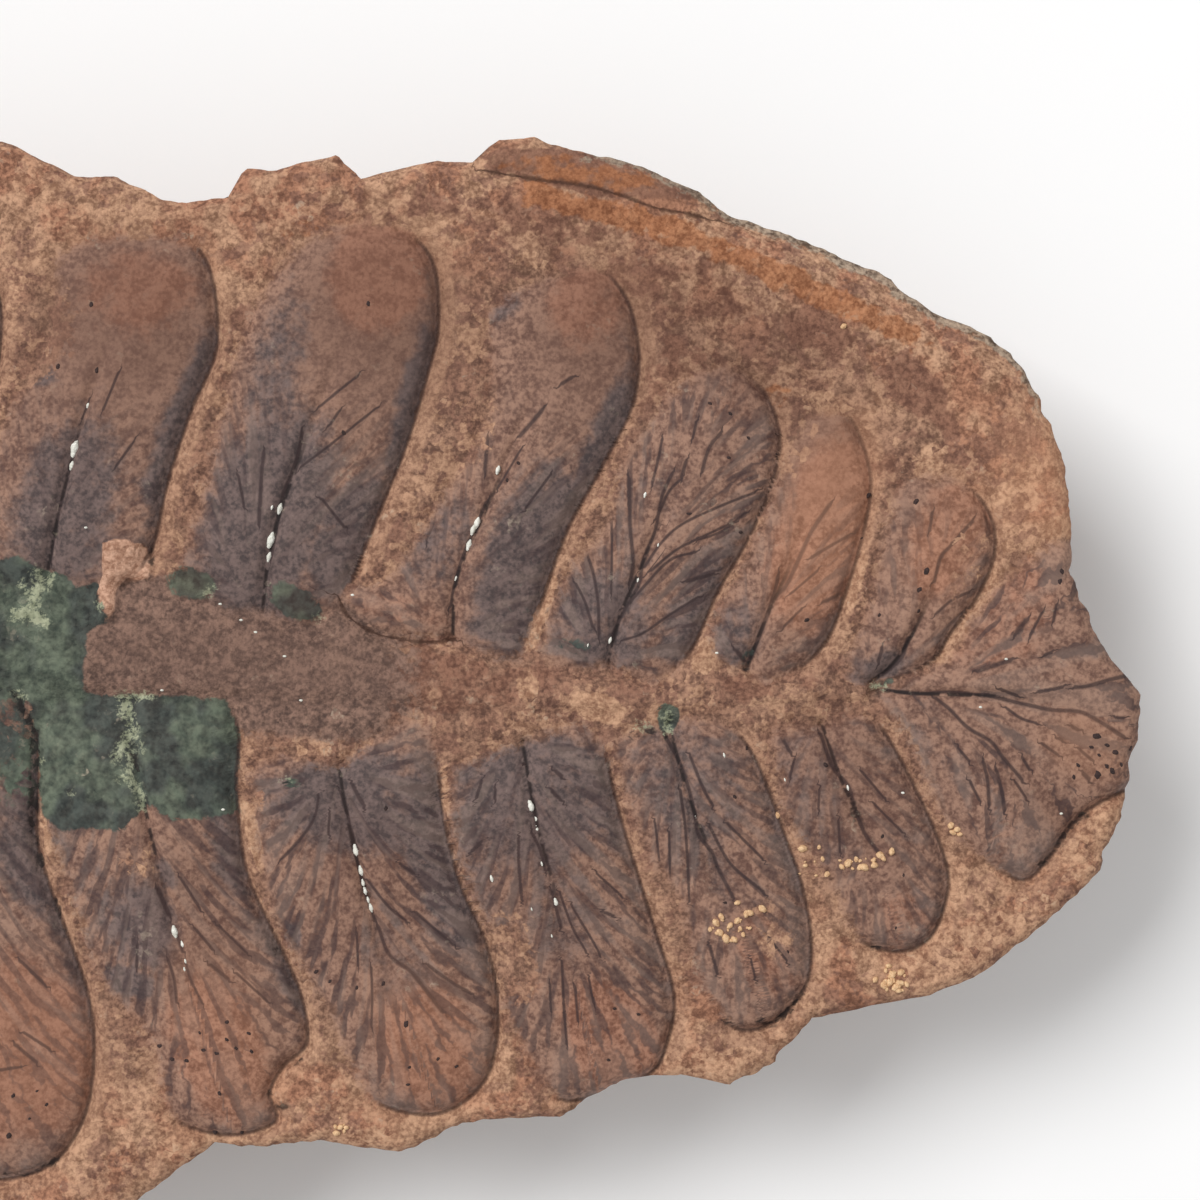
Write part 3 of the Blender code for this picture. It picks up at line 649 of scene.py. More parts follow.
def face_grid():
    """Return the face's angles, radii, squares, and the loop of vertices round its edge."""
    columns, rows = FACE_CELLS
    a = np.linspace(-1.0, 1.0, columns + 1)
    a = a + NEAR_CROWDING * (1.0 - a * a)
    b = np.linspace(-1.0, 1.0, rows + 1)
    angle, radius = disc_from_square(*(side.ravel() for side in np.meshgrid(a, b)))
    index = np.arange((rows + 1) * (columns + 1)).reshape(rows + 1, columns + 1)
    corners = (index[:-1, :-1], index[:-1, 1:], index[1:, 1:], index[1:, :-1])
    squares = np.stack([corner.ravel() for corner in corners], axis=1)
    loop = np.concatenate([index[0, :-1], index[:-1, -1], index[-1, :0:-1], index[:0:-1, 0]])
    return angle, radius, squares, loop


def back_ring(angle, top, number):
    """Return one ring of the back: the places and heights of its vertices."""
    share = number / BACK_RINGS
    turn = share * np.pi / 2
    inwards = BACK_FLOOR_SCALE + (1.0 - BACK_FLOOR_SCALE) * np.cos(turn) ** BACK_TUCK
    places = rim.place(angle, np.full(len(angle), inwards), (1.0 - share) ** RAGGED_FADE)
    lumps = BACK_LUMP * np.sin(2 * turn) * noise_at(places + (0.0, 40.0), BACK_LUMP_LENGTH, turn)
    height = top - (top + BACK_BELOW_REST) * np.sin(turn) ** BACK_FALL + lumps * np.sin(turn)
    around = np.stack([angle * LENGTH / 4, height], axis=1)
    swell = 1.0 + bumps(around, BACK_BUMPS, 50.0) * min(share * 4.0, 1.0) / (WIDTH / 2)
    return places * swell[:, None], np.maximum(height, 0.0)


def vein_crowding(points, fields):
    """Return how fast the vein number changes per millimetre: high where veins stand close."""
    nudge = 0.1
    right = leaf_fields(points + (nudge, 0.0))["vein"] - fields["vein"]
    up = leaf_fields(points + (0.0, nudge))["vein"] - fields["vein"]
    return np.clip(np.hypot(right, up) / nudge, *CROWDING_LIMITS)


angle, radius, squares, loop = face_grid()
face_points = rim.place(angle, radius, radius ** RIM_BLEND_POWER)
face_fields = leaf_fields(face_points)
crowding = vein_crowding(face_points, face_fields)
face_fields["strength"] = face_fields["strength"] * (1.0 - ease(*TOO_CROWDED, crowding))
face_z = face_height(face_points, face_fields)
layers = [np.column_stack([face_points, face_z])]
faces = [tuple(square) for square in squares.tolist()]
upper = loop
for number in range(1, BACK_RINGS + 1):
    places, height = back_ring(angle[loop], face_z[loop], number)
    lower = sum(len(layer) for layer in layers) + np.arange(len(loop))
    layers.append(np.column_stack([places, height]))
    ring = np.stack([upper, lower, np.roll(lower, -1), np.roll(upper, -1)], axis=1)
    faces.extend(tuple(quad) for quad in ring.tolist())
    upper = lower
layers.append(np.array([[0.0, 0.0, 0.0]]))
centre = sum(len(layer) for layer in layers) - 1
faces.extend((int(b), int(a), centre) for a, b in zip(upper, np.roll(upper, -1)))
vertices = np.vstack(layers)
stone_mesh = bpy.data.meshes.new("nodule_stone")
stone_mesh.from_pydata((vertices * MM).tolist(), [], faces)
stone_mesh.shade_smooth()
stone = bpy.data.objects.new("nodule_stone", stone_mesh)
bpy.context.scene.collection.objects.link(stone)
stone_mesh.calc_loop_triangles()
print("stone:", len(vertices), "vertices,", len(stone_mesh.loop_triangles), "triangles")

# %% [markdown]
# ## Stains
#
# Iron, clay and carbon stained the split face in patches: slate grey near the ribs, redder brown at the
# tips, green where another mineral filled the stem, bare tan stone where the leaf flaked off. The patches
# follow no rule, so each is a soft oval given one by one: its place, two half sizes, turn and strength. They
# are stored on the vertices, and the shader breaks up their edges.

# %% Patches, listed one by one
PATCH_BOXINESS = 2.2
SLATE = [
    (1.0, 9.8, 5.2, 2.9, 78, 0.85), (6.8, 13.5, 5.5, 1.3, 70, 0.7), (10.8, 9.0, 6.5, 3.3, 75, 1.0),
    (18.2, 15.0, 4.0, 1.0, 75, 0.6), (11.2, 15.5, 5.5, 1.6, 78, 0.6), (19.5, 7.8, 3.0, 1.7, 60, 0.6),
    (23.9, 7.0, 5.5, 2.4, 68, 1.0), (27.5, 12.5, 4.5, 1.0, 68, 0.7), (22.8, 20.0, 1.4, 1.0, 60, 0.6),
    (27.5, 4.0, 3.0, 2.8, 0, 0.8), (32.0, 4.5, 4.0, 1.4, 65, 0.7), (29.8, 9.0, 4.0, 1.9, 65, 0.3),
    (34.2, 3.0, 2.5, 1.4, 60, 0.6), (39.2, 5.0, 3.5, 0.8, 65, 0.4), (41.2, 1.5, 1.8, 0.9, 30, 0.7),
    (46.0, -4.5, 3.0, 1.6, -50, 0.3), (52.2, 3.0, 2.5, 0.9, -55, 0.35), (44.0, -2.0, 3.0, 1.4, -60, 0.3),
    (38.0, -3.5, 3.5, 2.1, -60, 0.4), (39.0, -7.5, 2.5, 1.7, -60, 0.3), (43.2, -9.0, 3.0, 1.0, -75, 0.3),
    (32.0, -4.5, 4.5, 2.8, -65, 0.6), (36.8, -6.5, 4.5, 0.8, -72, 0.4), (34.5, -10.0, 3.0, 1.8, -65, 0.3),
    (24.0, -5.0, 4.5, 4.2, 0, 0.9), (21.0, -8.0, 4.5, 1.4, -72, 0.5), (25.5, -10.0, 4.0, 2.3, -72, 0.5),
    (15.5, -5.0, 4.8, 2.9, 0, 1.0), (14.6, 8.0, 3.5, 1.5, 65, 0.9), (23.5, 2.6, 1.6, 1.2, 60, 0.9),
    (19.0, -7.5, 5.5, 1.5, -72, 1.0), (12.1, -11.7, 0.9, 0.5, -60, 0.9), (5.2, -10.4, 1.5, 1.0, -60, 1.0),
    (4.1, -14.1, 1.5, 0.8, -20, 1.0), (5.85, -8.6, 1.0, 0.4, -60, 1.0), (-0.4, 16.15, 0.9, 0.6, 0, 0.8),
    (17.5, -13.0, 4.5, 2.3, -65, 0.4), (4.5, -11.0, 2.8, 2.1, -60, 0.8), (1.8, -8.0, 3.0, 1.1, -70, 0.4),
    (8.8, -7.5, 3.0, 1.1, -80, 0.5), (12.0, -13.5, 3.0, 0.8, -70, 0.5), (-1.0, -7.0, 4.0, 2.3, -80, 0.7),
    (1.5, -13.0, 5.5, 0.9, -75, 0.6),
]
RUST = [
    (4.5, 20.5, 3.5, 2.5, 0, 0.7), (16.5, 21.5, 3.5, 2.8, 80, 0.9), (27.0, 20.0, 3.0, 2.3, 70, 0.7),
    (34.5, 15.0, 2.0, 1.4, 60, 0.3), (48.5, 4.5, 3.0, 2.5, 45, 0.5), (-1.5, -17.5, 5.5, 4.0, -80, 0.9),
    (8.5, -17.5, 4.5, 2.5, -70, 0.9), (19.0, -17.5, 3.8, 2.8, -70, 0.9), (28.0, -17.0, 3.5, 2.6, -70, 0.9),
    (35.5, -13.0, 3.0, 2.2, -70, 0.5), (42.8, -11.0, 2.0, 1.6, -70, 0.5), (17.5, 4.6, 3.1, 1.0, -10, 0.5),
    (38.8, 8.5, 5.5, 2.6, 72, 1.0), (44.8, 8.0, 3.5, 2.2, 70, 0.8), (47.0, 3.0, 3.5, 1.6, 45, 0.5),
]
GREEN = [
    (-1.8, -1.8, 4.5, 1.8, -85, 0.6), (7.1, 5.8, 1.4, 0.9, -10, 0.85), (12.3, 4.9, 1.6, 0.9, -25, 0.85),
    (30.9, -0.9, 0.6, 0.8, 0, 1.0), (26.1, 2.8, 1.4, 0.6, -15, 0.5), (34.9, 2.2, 0.8, 0.5, 70, 0.5),
    (41.6, 0.8, 0.9, 0.3, 20, 0.6), (24.0, 5.0, 2.1, 1.6, 70, 0.3), (12.2, -4.1, 0.5, 0.4, 0, 0.7),
]
GREEN_AREA = [
    (-5.5, 7.0), (-2.6, 6.9), (-1.6, 7.2), (-0.4, 6.6), (0.9, 6.2), (1.2, 5.6), (2.4, 5.9), (2.7, 4.9),
    (3.3, 3.9), (1.9, 3.5), (1.8, 0.5),
    (3.0, 0.2), (6.5, 0.25), (8.8, 0.0), (9.5, -1.5), (9.3, -4.5), (9.4, -5.6), (6.2, -6.0), (5.0, -5.2),
    (3.8, -6.4), (0.5, -6.5), (-0.4, -6.0), (-0.7, -3.0), (-1.0, 0.0), (-5.5, 0.4),
]
WORN = [
    (23.2, -13.0, 2.5, 1.3, -75, 0.8), (-0.5, 18.0, 3.0, 2.0, 60, 0.8), (37.5, 12.5, 2.0, 1.0, 60, 0.4),
    (45.8, 7.0, 3.0, 1.2, 65, 0.4), (13.0, -2.2, 1.6, 0.9, 0, 1.0), (10.1, -4.8, 0.8, 1.2, 0, 0.6),
    (36.2, -11.5, 2.0, 1.3, -60, 0.4),
    (21.0, 14.0, 3.5, 1.7, 70, 0.5), (4.5, -7.9, 1.1, 1.3, -70, 0.5),
]
ORANGE = [
    (26.5, 26.5, 5.5, 0.9, -9, 0.6), (44.5, 17.0, 3.0, 1.1, -40, 0.3), (21.5, 21.8, 1.7, 1.2, 0, 0.4),
    (13.5, 23.4, 2.5, 0.9, 0, 0.4), (36.0, 15.2, 1.2, 1.0, 0, 0.4),
]
ORANGE_BAND = [
    (0.5, [(24.0, 25.4), (28.0, 24.4), (31.0, 23.5), (34.5, 22.1), (37.5, 20.7), (40.5, 19.5), (43.0, 18.4)]),
]
DARKER = [
    (4.0, 19.5, 4.5, 4.0, 0, 0.85), (16.5, 20.0, 4.5, 4.0, 0, 0.8), (27.5, 19.0, 4.0, 3.5, 0, 0.8),
    (38.0, 17.5, 6.0, 3.5, -40, 0.5), (27.0, 23.0, 6.0, 2.5, -10, 0.5), (49.8, -5.3, 2.5, 0.9, -40, 0.6),
    (10.0, 2.2, 8.0, 2.2, -5, 0.25), (19.0, 16.5, 2.5, 1.2, 70, 0.4), (9.5, 25.0, 4.0, 2.0, 0, 0.3),
    (34.0, 18.5, 7.0, 3.5, -35, 1.0), (40.0, -4.5, 5.0, 2.8, -60, 0.6), (7.5, -11.0, 4.5, 3.0, -75, 0.6),
    (15.5, -9.5, 4.5, 3.0, -75, 0.6), (24.5, -9.5, 4.5, 3.0, -75, 0.5), (7.2, 5.8, 1.2, 0.9, -10, 1.0),
    (12.4, 4.9, 1.4, 0.9, -25, 1.0), (1.0, 14.0, 4.0, 2.5, 75, 0.3),
]
LIGHTER = [
    (38.8, 9.0, 6.0, 2.4, 72, 0.75), (44.8, 8.0, 4.0, 2.4, 70, 0.4), (51.8, -2.4, 2.4, 1.7, -30, 0.6),
    (18.8, -16.5, 4.0, 3.0, -70, 0.4), (9.0, -16.5, 5.0, 3.0, -70, 0.35), (-1.5, -17.5, 5.0, 4.0, -80, 0.3),
    (50.5, 11.5, 3.5, 4.0, 0, 0.9), (46.5, 14.0, 2.5, 1.5, -50, 0.3),
]
SMOOTH = [
    (4.0, 18.5, 5.5, 4.5, 80, 0.8), (16.5, 19.0, 6.0, 4.5, 80, 0.8), (27.5, 18.0, 5.0, 3.5, 75, 0.6),
    (38.5, 12.0, 3.5, 2.0, 72, 0.7), (-1.5, -17.5, 5.5, 4.5, -80, 0.6), (18.0, -18.0, 4.0, 3.0, -70, 0.3),
    (27.0, 26.3, 6.0, 1.2, -10, 0.7), (10.0, 2.0, 9.0, 2.0, -5, 0.4),
]
TAN = [
    (24.6, 4.6, 2.6, 0.45, 71, 1.0), (23.9, 0.8, 0.9, 0.6, 90, 1.0), (27.4, -0.4, 1.5, 0.8, -20, 1.0),
    (18.4, -1.0, 0.8, 0.6, 0, 0.5), (13.0, -2.2, 1.4, 0.8, 0, 0.55), (19.7, -4.5, 1.6, 0.25, -87, 1.0),
    (32.8, 2.2, 1.2, 0.7, 60, 0.8),
    (40.2, 6.0, 2.0, 0.6, 75, 0.8), (46.2, 4.8, 2.8, 0.7, 62, 1.0), (44.6, 2.2, 0.8, 0.5, 0, 0.8),
    (43.7, -2.6, 3.2, 0.4, -63, 1.0), (-0.2, -6.8, 1.5, 0.25, -80, 1.0), (10.2, -6.8, 2.2, 0.4, -75, 1.0),
    (39.3, 14.5, 2.5, 0.9, -30, 0.6), (44.0, 12.0, 1.5, 1.0, 80, 0.6), (48.5, 10.2, 1.5, 1.0, 0, 0.6),
    (24.0, 22.0, 1.2, 0.8, 0, 0.5), (-1.5, 20.0, 1.0, 2.0, 0, 0.4), (4.8, -8.1, 0.5, 0.8, -30, 1.0),
    (42.1, 2.4, 0.4, 0.5, 0, 0.8), (9.9, -5.3, 0.7, 0.5, 0, 0.5), (17.0, -22.8, 16.0, 1.6, 0, 0.6),
    (33.0, -19.0, 4.0, 1.8, 10, 0.6),
    (46.0, -12.8, 6.0, 2.2, 30, 0.55), (52.3, -7.0, 3.5, 1.4, 55, 0.5), (52.0, 11.0, 2.5, 2.0, 0, 0.5),
    (51.0, 8.7, 1.7, 0.8, 20, 0.9),
]
BROWN = [
    (27.0, 26.4, 6.0, 1.1, -10, 1.0), (17.3, 0.4, 2.4, 0.5, 85, 0.7), (20.5, 1.0, 5.5, 2.2, -6, 0.6),
    (28.5, 1.0, 2.5, 0.9, 0, 0.4), (36.0, 0.7, 3.0, 1.0, 0, 0.6), (3.2, 5.2, 0.9, 0.7, 80, 0.6),
    (30.5, 16.5, 2.5, 1.2, 60, 0.5), (46.8, 9.2, 0.4, 0.6, 0, 0.8),
    (22.5, 18.0, 4.0, 1.2, 70, 0.4), (33.0, 17.5, 2.2, 1.0, 70, 0.4), (9.0, 18.5, 4.5, 0.9, 75, 0.4),
    (38.5, 18.5, 2.1, 1.3, -30, 0.9), (43.5, 15.5, 3.0, 1.4, -50, 0.7), (32.5, 20.5, 3.0, 1.9, -30, 0.6),
    (25.5, 24.2, 4.5, 1.8, -10, 0.6), (29.5, 21.2, 2.5, 1.4, -10, 0.5), (17.5, 25.0, 3.5, 1.3, 0, 0.5),
    (42.0, 11.5, 2.0, 1.2, -60, 0.4), (5.0, 24.2, 3.0, 1.0, 0, 0.3), (47.5, 14.0, 1.5, 1.0, -60, 0.4),
]


def patches(points, ovals):
    """Return how strongly each point is stained by a list of soft ovals, which are a little squarish."""
    amount = np.zeros(len(points))
    for x, y, long_half, short_half, turn, strength in ovals:
        offset = points - (x, y)
        turned = math.radians(turn)
        along = offset @ np.array([math.cos(turned), math.sin(turned)]) / long_half
        aside = offset @ np.array([-math.sin(turned), math.cos(turned)]) / short_half
        reach = (np.abs(along) ** PATCH_BOXINESS + np.abs(aside) ** PATCH_BOXINESS) ** (1.0 / PATCH_BOXINESS)
        inside = 1.0 - ease(0.45, 1.35, reach)
        amount = np.maximum(amount, strength * inside)
    return amount


# %% [markdown]
# ## Drawn strokes
#
# The darkest veins are what the eye knows this leaf by, and noise would never put them in the right places.
# So the most visible ones are drawn, as a few points each and half a width. A stroke of a single point is
# a round pit, which is filled with a dark grain further down. A second brush paints shade: black in the gaps
# below some margins, where the leaflets' edges throw shadow. It also draws the pale mineral in the green.
# What is stored is the distance to the nearest stroke's edge, so the shader can sharpen or fray it. The
# veins are thinner than the mesh's squares. For them the distance from the stroke's middle is stored, with
# a sign for the side: it passes through zero between two vertices, so a thin line stays a line. Two close
# strokes would spoil each other's signs, so the strokes are shared out to three sets that keep apart.

# %% Strokes and dots
INK = {
    "end": [
        (0.10, [(41.2, 0.6), (43.3, 0.3), (45.0, 0.4), (47.0, 0.2)]),
        (0.13, [(47.0, 0.2), (48.9, -0.25), (50.1, -0.5), (51.2, -0.55), (52.0, -0.8), (53.7, -1.85)]),
        (0.10, [(47.5, 0.55), (48.4, 0.2)]), (0.11, [(49.4, 0.4), (50.6, 0.65)]),
        (0.13, [(51.2, 0.65), (51.9, 0.7), (52.9, 1.0), (53.9, 1.2)]),
        (0.12, [(44.3, 0.1), (45.0, -0.5), (45.9, -1.4), (47.0, -2.05), (47.6, -2.85), (48.6, -4.0)]),
        (0.09, [(47.8, -0.4), (48.5, -0.9), (49.3, -1.15)]), (0.09, [(49.6, -2.2), (50.4, -2.75)]),
        (0.10, [(51.5, -2.5), (52.1, -3.0)]), (0.11, [(48.6, -2.9), (48.9, -3.4)]),
        (0.12, [(46.65, -3.1), (46.85, -4.0), (46.95, -5.3)]),
        (0.12, [(47.3, -3.5), (47.6, -4.7), (47.7, -5.5)]),
        (0.09, [(46.0, -4.1), (46.45, -5.0)]), (0.09, [(45.4, -2.4), (45.9, -3.0)]),
        (0.09, [(48.25, -4.1), (48.8, -4.9)]), (0.18, [(48.8, 4.0), (48.25, 3.3)]),
        (0.09, [(49.6, 4.4), (48.95, 3.15)]), (0.10, [(50.3, 4.75), (50.15, 3.95)]),
        (0.10, [(49.7, 2.25), (50.1, 2.4)]), (0.16, [(46.4, 1.45), (48.0, 2.0)]),
    ],
    "end dots": [
        (0.13, [(51.1, -1.35), (51.4, -1.5)]), (0.20, [(52.35, -1.8)]), (0.12, [(52.05, -2.35)]),
        (0.13, [(52.85, -2.25)]), (0.17, [(53.25, -2.6)]), (0.10, [(52.45, -2.75)]), (0.12, [(51.4, -3.25)]),
        (0.13, [(52.85, -3.3)]), (0.17, [(53.15, -3.55)]), (0.11, [(53.6, -3.25)]), (0.12, [(51.2, -3.85)]),
        (0.15, [(51.7, -3.7), (51.95, -3.95)]), (0.21, [(52.4, -3.7)]), (0.11, [(50.4, -1.9), (50.6, -2.0)]),
        (0.10, [(53.3, -0.9), (53.7, -0.9)]), (0.12, [(54.1, -2.4)]), (0.14, [(50.6, 6.4)]),
        (0.14, [(50.5, 5.9)]),
    ],
    "upper_6": [
        (0.19, [(43.8, 6.4)]), (0.14, [(43.45, 5.5)]), (0.17, [(46.9, 9.1), (47.05, 8.6)]),
        (0.12, [(44.2, 5.9), (44.5, 7.1), (45.0, 7.7), (45.8, 8.6), (46.2, 9.0)]),
        (0.10, [(44.1, 9.4), (43.95, 8.4)]), (0.16, [(43.3, 9.9)]),
        (0.10, [(41.5, 4.25)]), (0.10, [(43.4, 4.45)]), (0.09, [(44.3, 4.3), (45.1, 5.0), (46.0, 5.4)]),
        (0.14, [(42.9, 3.0), (42.6, 2.1), (42.0, 1.5), (41.0, 0.7)]), (0.12, [(41.6, 2.6), (41.4, 1.9)]),
    ],
    "upper_5": [
        (0.13, [(34.8, 1.6), (35.4, 3.0), (35.8, 4.1), (36.2, 5.1), (36.8, 5.7),
                (37.5, 7.2), (38.1, 8.5), (39.0, 9.8)]),
        (0.12, [(36.4, 6.3), (36.3, 5.7), (36.0, 4.6)]), (0.10, [(38.0, 7.1), (39.0, 7.7), (39.9, 8.2)]),
        (0.13, [(37.8, 4.0)]), (0.12, [(38.7, 4.9), (39.5, 5.3)]), (0.16, [(40.9, 10.25)]),
        (0.12, [(40.6, 8.1)]),
        (0.15, [(34.3, 2.5), (34.7, 2.0)]), (0.08, [(37.0, 5.3), (38.4, 6.5)]),
        (0.08, [(36.6, 3.6), (37.6, 4.6)]),
    ],
    "upper_4": [
        (0.11, [(28.0, 3.0), (28.65, 4.35), (29.45, 5.8), (29.65, 7.0),
                (30.25, 8.45), (30.6, 10.2), (31.1, 11.3)]),
        (0.11, [(31.55, 11.1), (31.8, 11.95)]), (0.09, [(32.15, 13.15), (32.3, 13.9)]),
        (0.13, [(32.6, 11.5), (32.95, 12.6), (33.5, 13.3)]),
        (0.10, [(26.75, 7.55), (27.15, 6.4), (27.4, 4.9), (27.45, 3.2)]),
        (0.09, [(26.3, 5.8), (26.75, 4.9), (27.15, 3.6)]),
        (0.13, [(28.95, 11.1), (29.0, 8.75), (29.15, 6.9), (29.0, 5.9)]),
        (0.08, [(28.05, 9.9), (28.1, 7.25), (28.05, 5.35)]),
        (0.10, [(30.3, 9.0), (30.9, 10.35), (31.5, 11.0)]),
        (0.09, [(30.1, 10.8), (30.4, 12.0), (30.6, 13.0)]), (0.15, [(31.95, 9.3)]),
        (0.09, [(29.65, 6.55), (30.55, 7.85), (31.55, 8.75), (33.3, 9.6), (35.3, 10.4)]),
        (0.09, [(29.95, 6.4), (31.3, 7.5), (32.6, 8.15), (34.2, 8.9)]),
        (0.08, [(32.4, 8.0), (33.6, 8.45), (34.8, 9.4)]),
        (0.09, [(28.8, 4.65), (29.8, 5.8), (31.0, 7.0), (32.3, 7.4)]), (0.13, [(31.85, 5.95), (33.05, 6.25)]),
        (0.08, [(28.65, 3.0), (29.65, 3.35), (31.1, 4.35), (32.5, 5.2)]), (0.10, [(34.5, 8.4)]),
        (0.10, [(33.9, 12.1)]),
        (0.10, [(33.0, 14.8)]), (0.10, [(34.0, 14.3)]), (0.10, [(34.9, 13.1)]), (0.11, [(36.3, 12.3)]),
    ],
    "upper_3": [
        (0.10, [(20.05, 4.65), (20.15, 5.35), (20.4, 6.4), (20.85, 7.7), (21.45, 9.0), (21.8, 9.9)]),
        (0.13, [(21.9, 13.15), (21.75, 11.4)]), (0.10, [(19.1, 10.2), (19.2, 9.05), (18.8, 8.0)]),
        (0.14, [(24.7, 14.6), (24.4, 14.2), (23.5, 13.2)]), (0.12, [(25.55, 15.75), (26.1, 16.1)]),
        (0.11, [(23.45, 11.8)]), (0.10, [(22.9, 10.95)]),
        (0.08, [(22.4, 10.6), (23.6, 12.6)]), (0.08, [(23.8, 9.6), (25.0, 11.2)]),
    ],
    "upper_2": [
        (0.11, [(11.1, 7.0), (11.4, 8.65), (11.65, 10.0), (12.05, 11.05), (12.45, 12.2), (12.7, 13.4)]),
        (0.12, [(10.55, 8.8), (10.7, 11.5), (10.8, 12.4)]), (0.09, [(9.5, 11.2), (9.8, 9.7)]),
        (0.13, [(14.75, 13.3)]),
        (0.09, [(14.0, 13.6), (14.6, 14.5)]), (0.13, [(15.95, 19.75)]), (0.09, [(13.7, 10.0), (14.75, 8.65)]),
        (0.09, [(13.5, 14.6), (15.5, 16.2)]), (0.08, [(12.6, 11.6), (14.2, 12.8), (16.4, 14.6)]),
    ],
    "upper_1": [
        (0.08, [(0.05, 6.85), (0.35, 8.5), (0.7, 10.0), (1.0, 11.05)]), (0.12, [(1.5, 13.15)]),
        (0.15, [(2.45, 16.45)]), (0.15, [(0.5, 16.6)]), (0.14, [(2.15, 19.75)]),
        (0.07, [(1.7, 14.0), (2.1, 15.0)]),
        (0.08, [(3.4, 11.6), (4.4, 13.0)]), (0.08, [(2.8, 14.4), (3.6, 16.4)]),
    ],
    "lower_1": [
        (0.12, [(-1.6, -17.2), (-1.3, -17.5), (-0.7, -18.0)]), (0.11, [(-2.5, -18.45), (-1.5, -18.3)]),
        (0.12, [(-1.75, -19.7)]), (0.18, [(-2.0, -21.7)]), (0.10, [(-0.15, -20.2)]),
        (0.10, [(-1.2, -16.6), (0.0, -17.4)]),
        (0.08, [(-0.6, -19.5)]), (0.08, [(-1.0, -20.9)]), (0.10, [(-1.4, -13.0), (-0.2, -14.2)]),
    ],
    "lower_2": [
        (0.14, [(5.5, -9.45), (6.0, -10.7)]), (0.14, [(6.5, -11.9), (6.7, -12.4)]),
        (0.10, [(4.45, -12.15), (4.4, -13.4)]),
        (0.10, [(6.0, -12.9), (6.3, -13.9), (6.4, -15.1)]),
        (0.09, [(6.9, -13.15), (7.1, -13.9), (7.7, -15.1)]),
        (0.12, [(8.1, -13.15), (9.0, -13.9)]), (0.09, [(7.3, -11.3), (8.2, -12.4)]), (0.13, [(8.95, -16.0)]),
        (0.13, [(5.5, -17.3)]), (0.13, [(7.75, -17.45)]), (0.11, [(8.4, -17.6)]), (0.13, [(6.15, -17.95)]),
        (0.12, [(6.85, -18.0)]), (0.11, [(10.0, -16.6)]), (0.11, [(8.9, -16.9)]), (0.10, [(9.35, -17.35)]),
        (0.11, [(10.1, -17.5)]), (0.10, [(7.55, -16.6)]), (0.11, [(8.5, -19.6)]), (0.15, [(8.15, -21.65)]),
        (0.12, [(9.5, -21.7)]), (0.09, [(6.6, -8.8), (7.6, -10.4)]), (0.08, [(8.5, -11.2), (9.9, -12.6)]),
        (0.08, [(9.4, -13.6), (10.9, -15.0)]),
    ],
    "lower_3": [
        (0.10, [(14.6, -4.65), (15.05, -6.2), (15.4, -7.9), (15.75, -9.4), (16.3, -10.95)]),
        (0.10, [(13.5, -4.8), (13.3, -5.8), (12.7, -6.75), (11.55, -8.0)]),
        (0.09, [(14.05, -5.65), (14.0, -6.6)]),
        (0.14, [(15.2, -4.25), (15.75, -5.2)]), (0.12, [(16.85, -5.35)]),
        (0.09, [(15.4, -11.5), (15.45, -13.2)]),
        (0.08, [(16.1, -13.2), (16.15, -14.6), (16.1, -16.4)]),
        (0.13, [(16.45, -11.25), (17.0, -12.65), (18.1, -13.5), (18.95, -14.6), (19.65, -15.5)]),
        (0.09, [(16.0, -9.0), (17.0, -10.25), (17.85, -10.95)]), (0.10, [(17.55, -8.15), (18.25, -8.6)]),
        (0.11, [(18.95, -13.2), (20.1, -14.05), (21.0, -14.6)]), (0.16, [(17.85, -16.1)]),
        (0.11, [(16.7, -14.1)]),
        (0.11, [(15.4, -14.3)]), (0.11, [(14.05, -14.0)]), (0.12, [(13.35, -13.55)]),
        (0.09, [(18.4, -10.6), (20.2, -12.2)]),
        (0.10, [(19.4, -17.9)]), (0.10, [(18.0, -18.3)]), (0.10, [(20.3, -18.3)]), (0.10, [(17.9, -19.2)]),
    ],
    "lower_4": [
        (0.16, [(23.65, -3.25)]), (0.10, [(24.1, -6.6), (24.5, -7.4), (24.75, -8.4)]),
        (0.11, [(25.1, -9.55), (25.55, -11.3)]),
        (0.11, [(23.45, -6.9), (23.45, -8.0), (23.6, -9.85)]), (0.09, [(22.3, -4.4), (22.25, -4.9)]),
        (0.11, [(21.6, -4.1), (21.35, -4.8)]), (0.11, [(25.1, -4.5), (25.55, -4.95)]),
        (0.13, [(25.3, -3.55), (25.55, -3.75)]),
        (0.08, [(25.5, -9.6), (26.1, -11.25), (26.8, -12.5)]),
        (0.08, [(26.1, -10.25), (27.2, -12.1), (27.5, -12.7)]),
        (0.12, [(27.65, -10.55), (28.2, -10.75)]), (0.08, [(25.0, -14.05), (25.05, -15.5)]),
        (0.09, [(25.6, -13.05), (25.7, -15.3), (25.85, -17.25)]), (0.09, [(26.25, -14.2), (26.4, -16.0)]),
        (0.08, [(26.95, -13.9), (27.2, -15.2)]), (0.12, [(21.0, -7.6), (21.6, -7.1)]),
        (0.08, [(27.3, -8.6), (28.6, -9.8)]),
        (0.10, [(28.2, -15.4)]), (0.10, [(29.4, -15.7)]), (0.10, [(27.9, -18.0)]),
    ],
    "lower_5": [
        (0.12, [(30.7, -1.7), (31.6, -3.4), (32.2, -5.5), (32.4, -6.7),
                (33.1, -7.6), (33.4, -8.4), (34.1, -9.75)]),
        (0.15, [(33.35, -8.3)]), (0.14, [(33.75, -10.1)]),
        (0.10, [(32.0, -2.8), (32.65, -4.4), (33.1, -5.2)]),
        (0.10, [(33.0, -6.35), (33.7, -7.7), (34.35, -8.5), (35.7, -9.6)]),
        (0.09, [(31.5, -4.5), (31.75, -6.35), (31.9, -8.6), (31.95, -10.0)]),
        (0.08, [(30.95, -6.6), (31.0, -8.85)]),
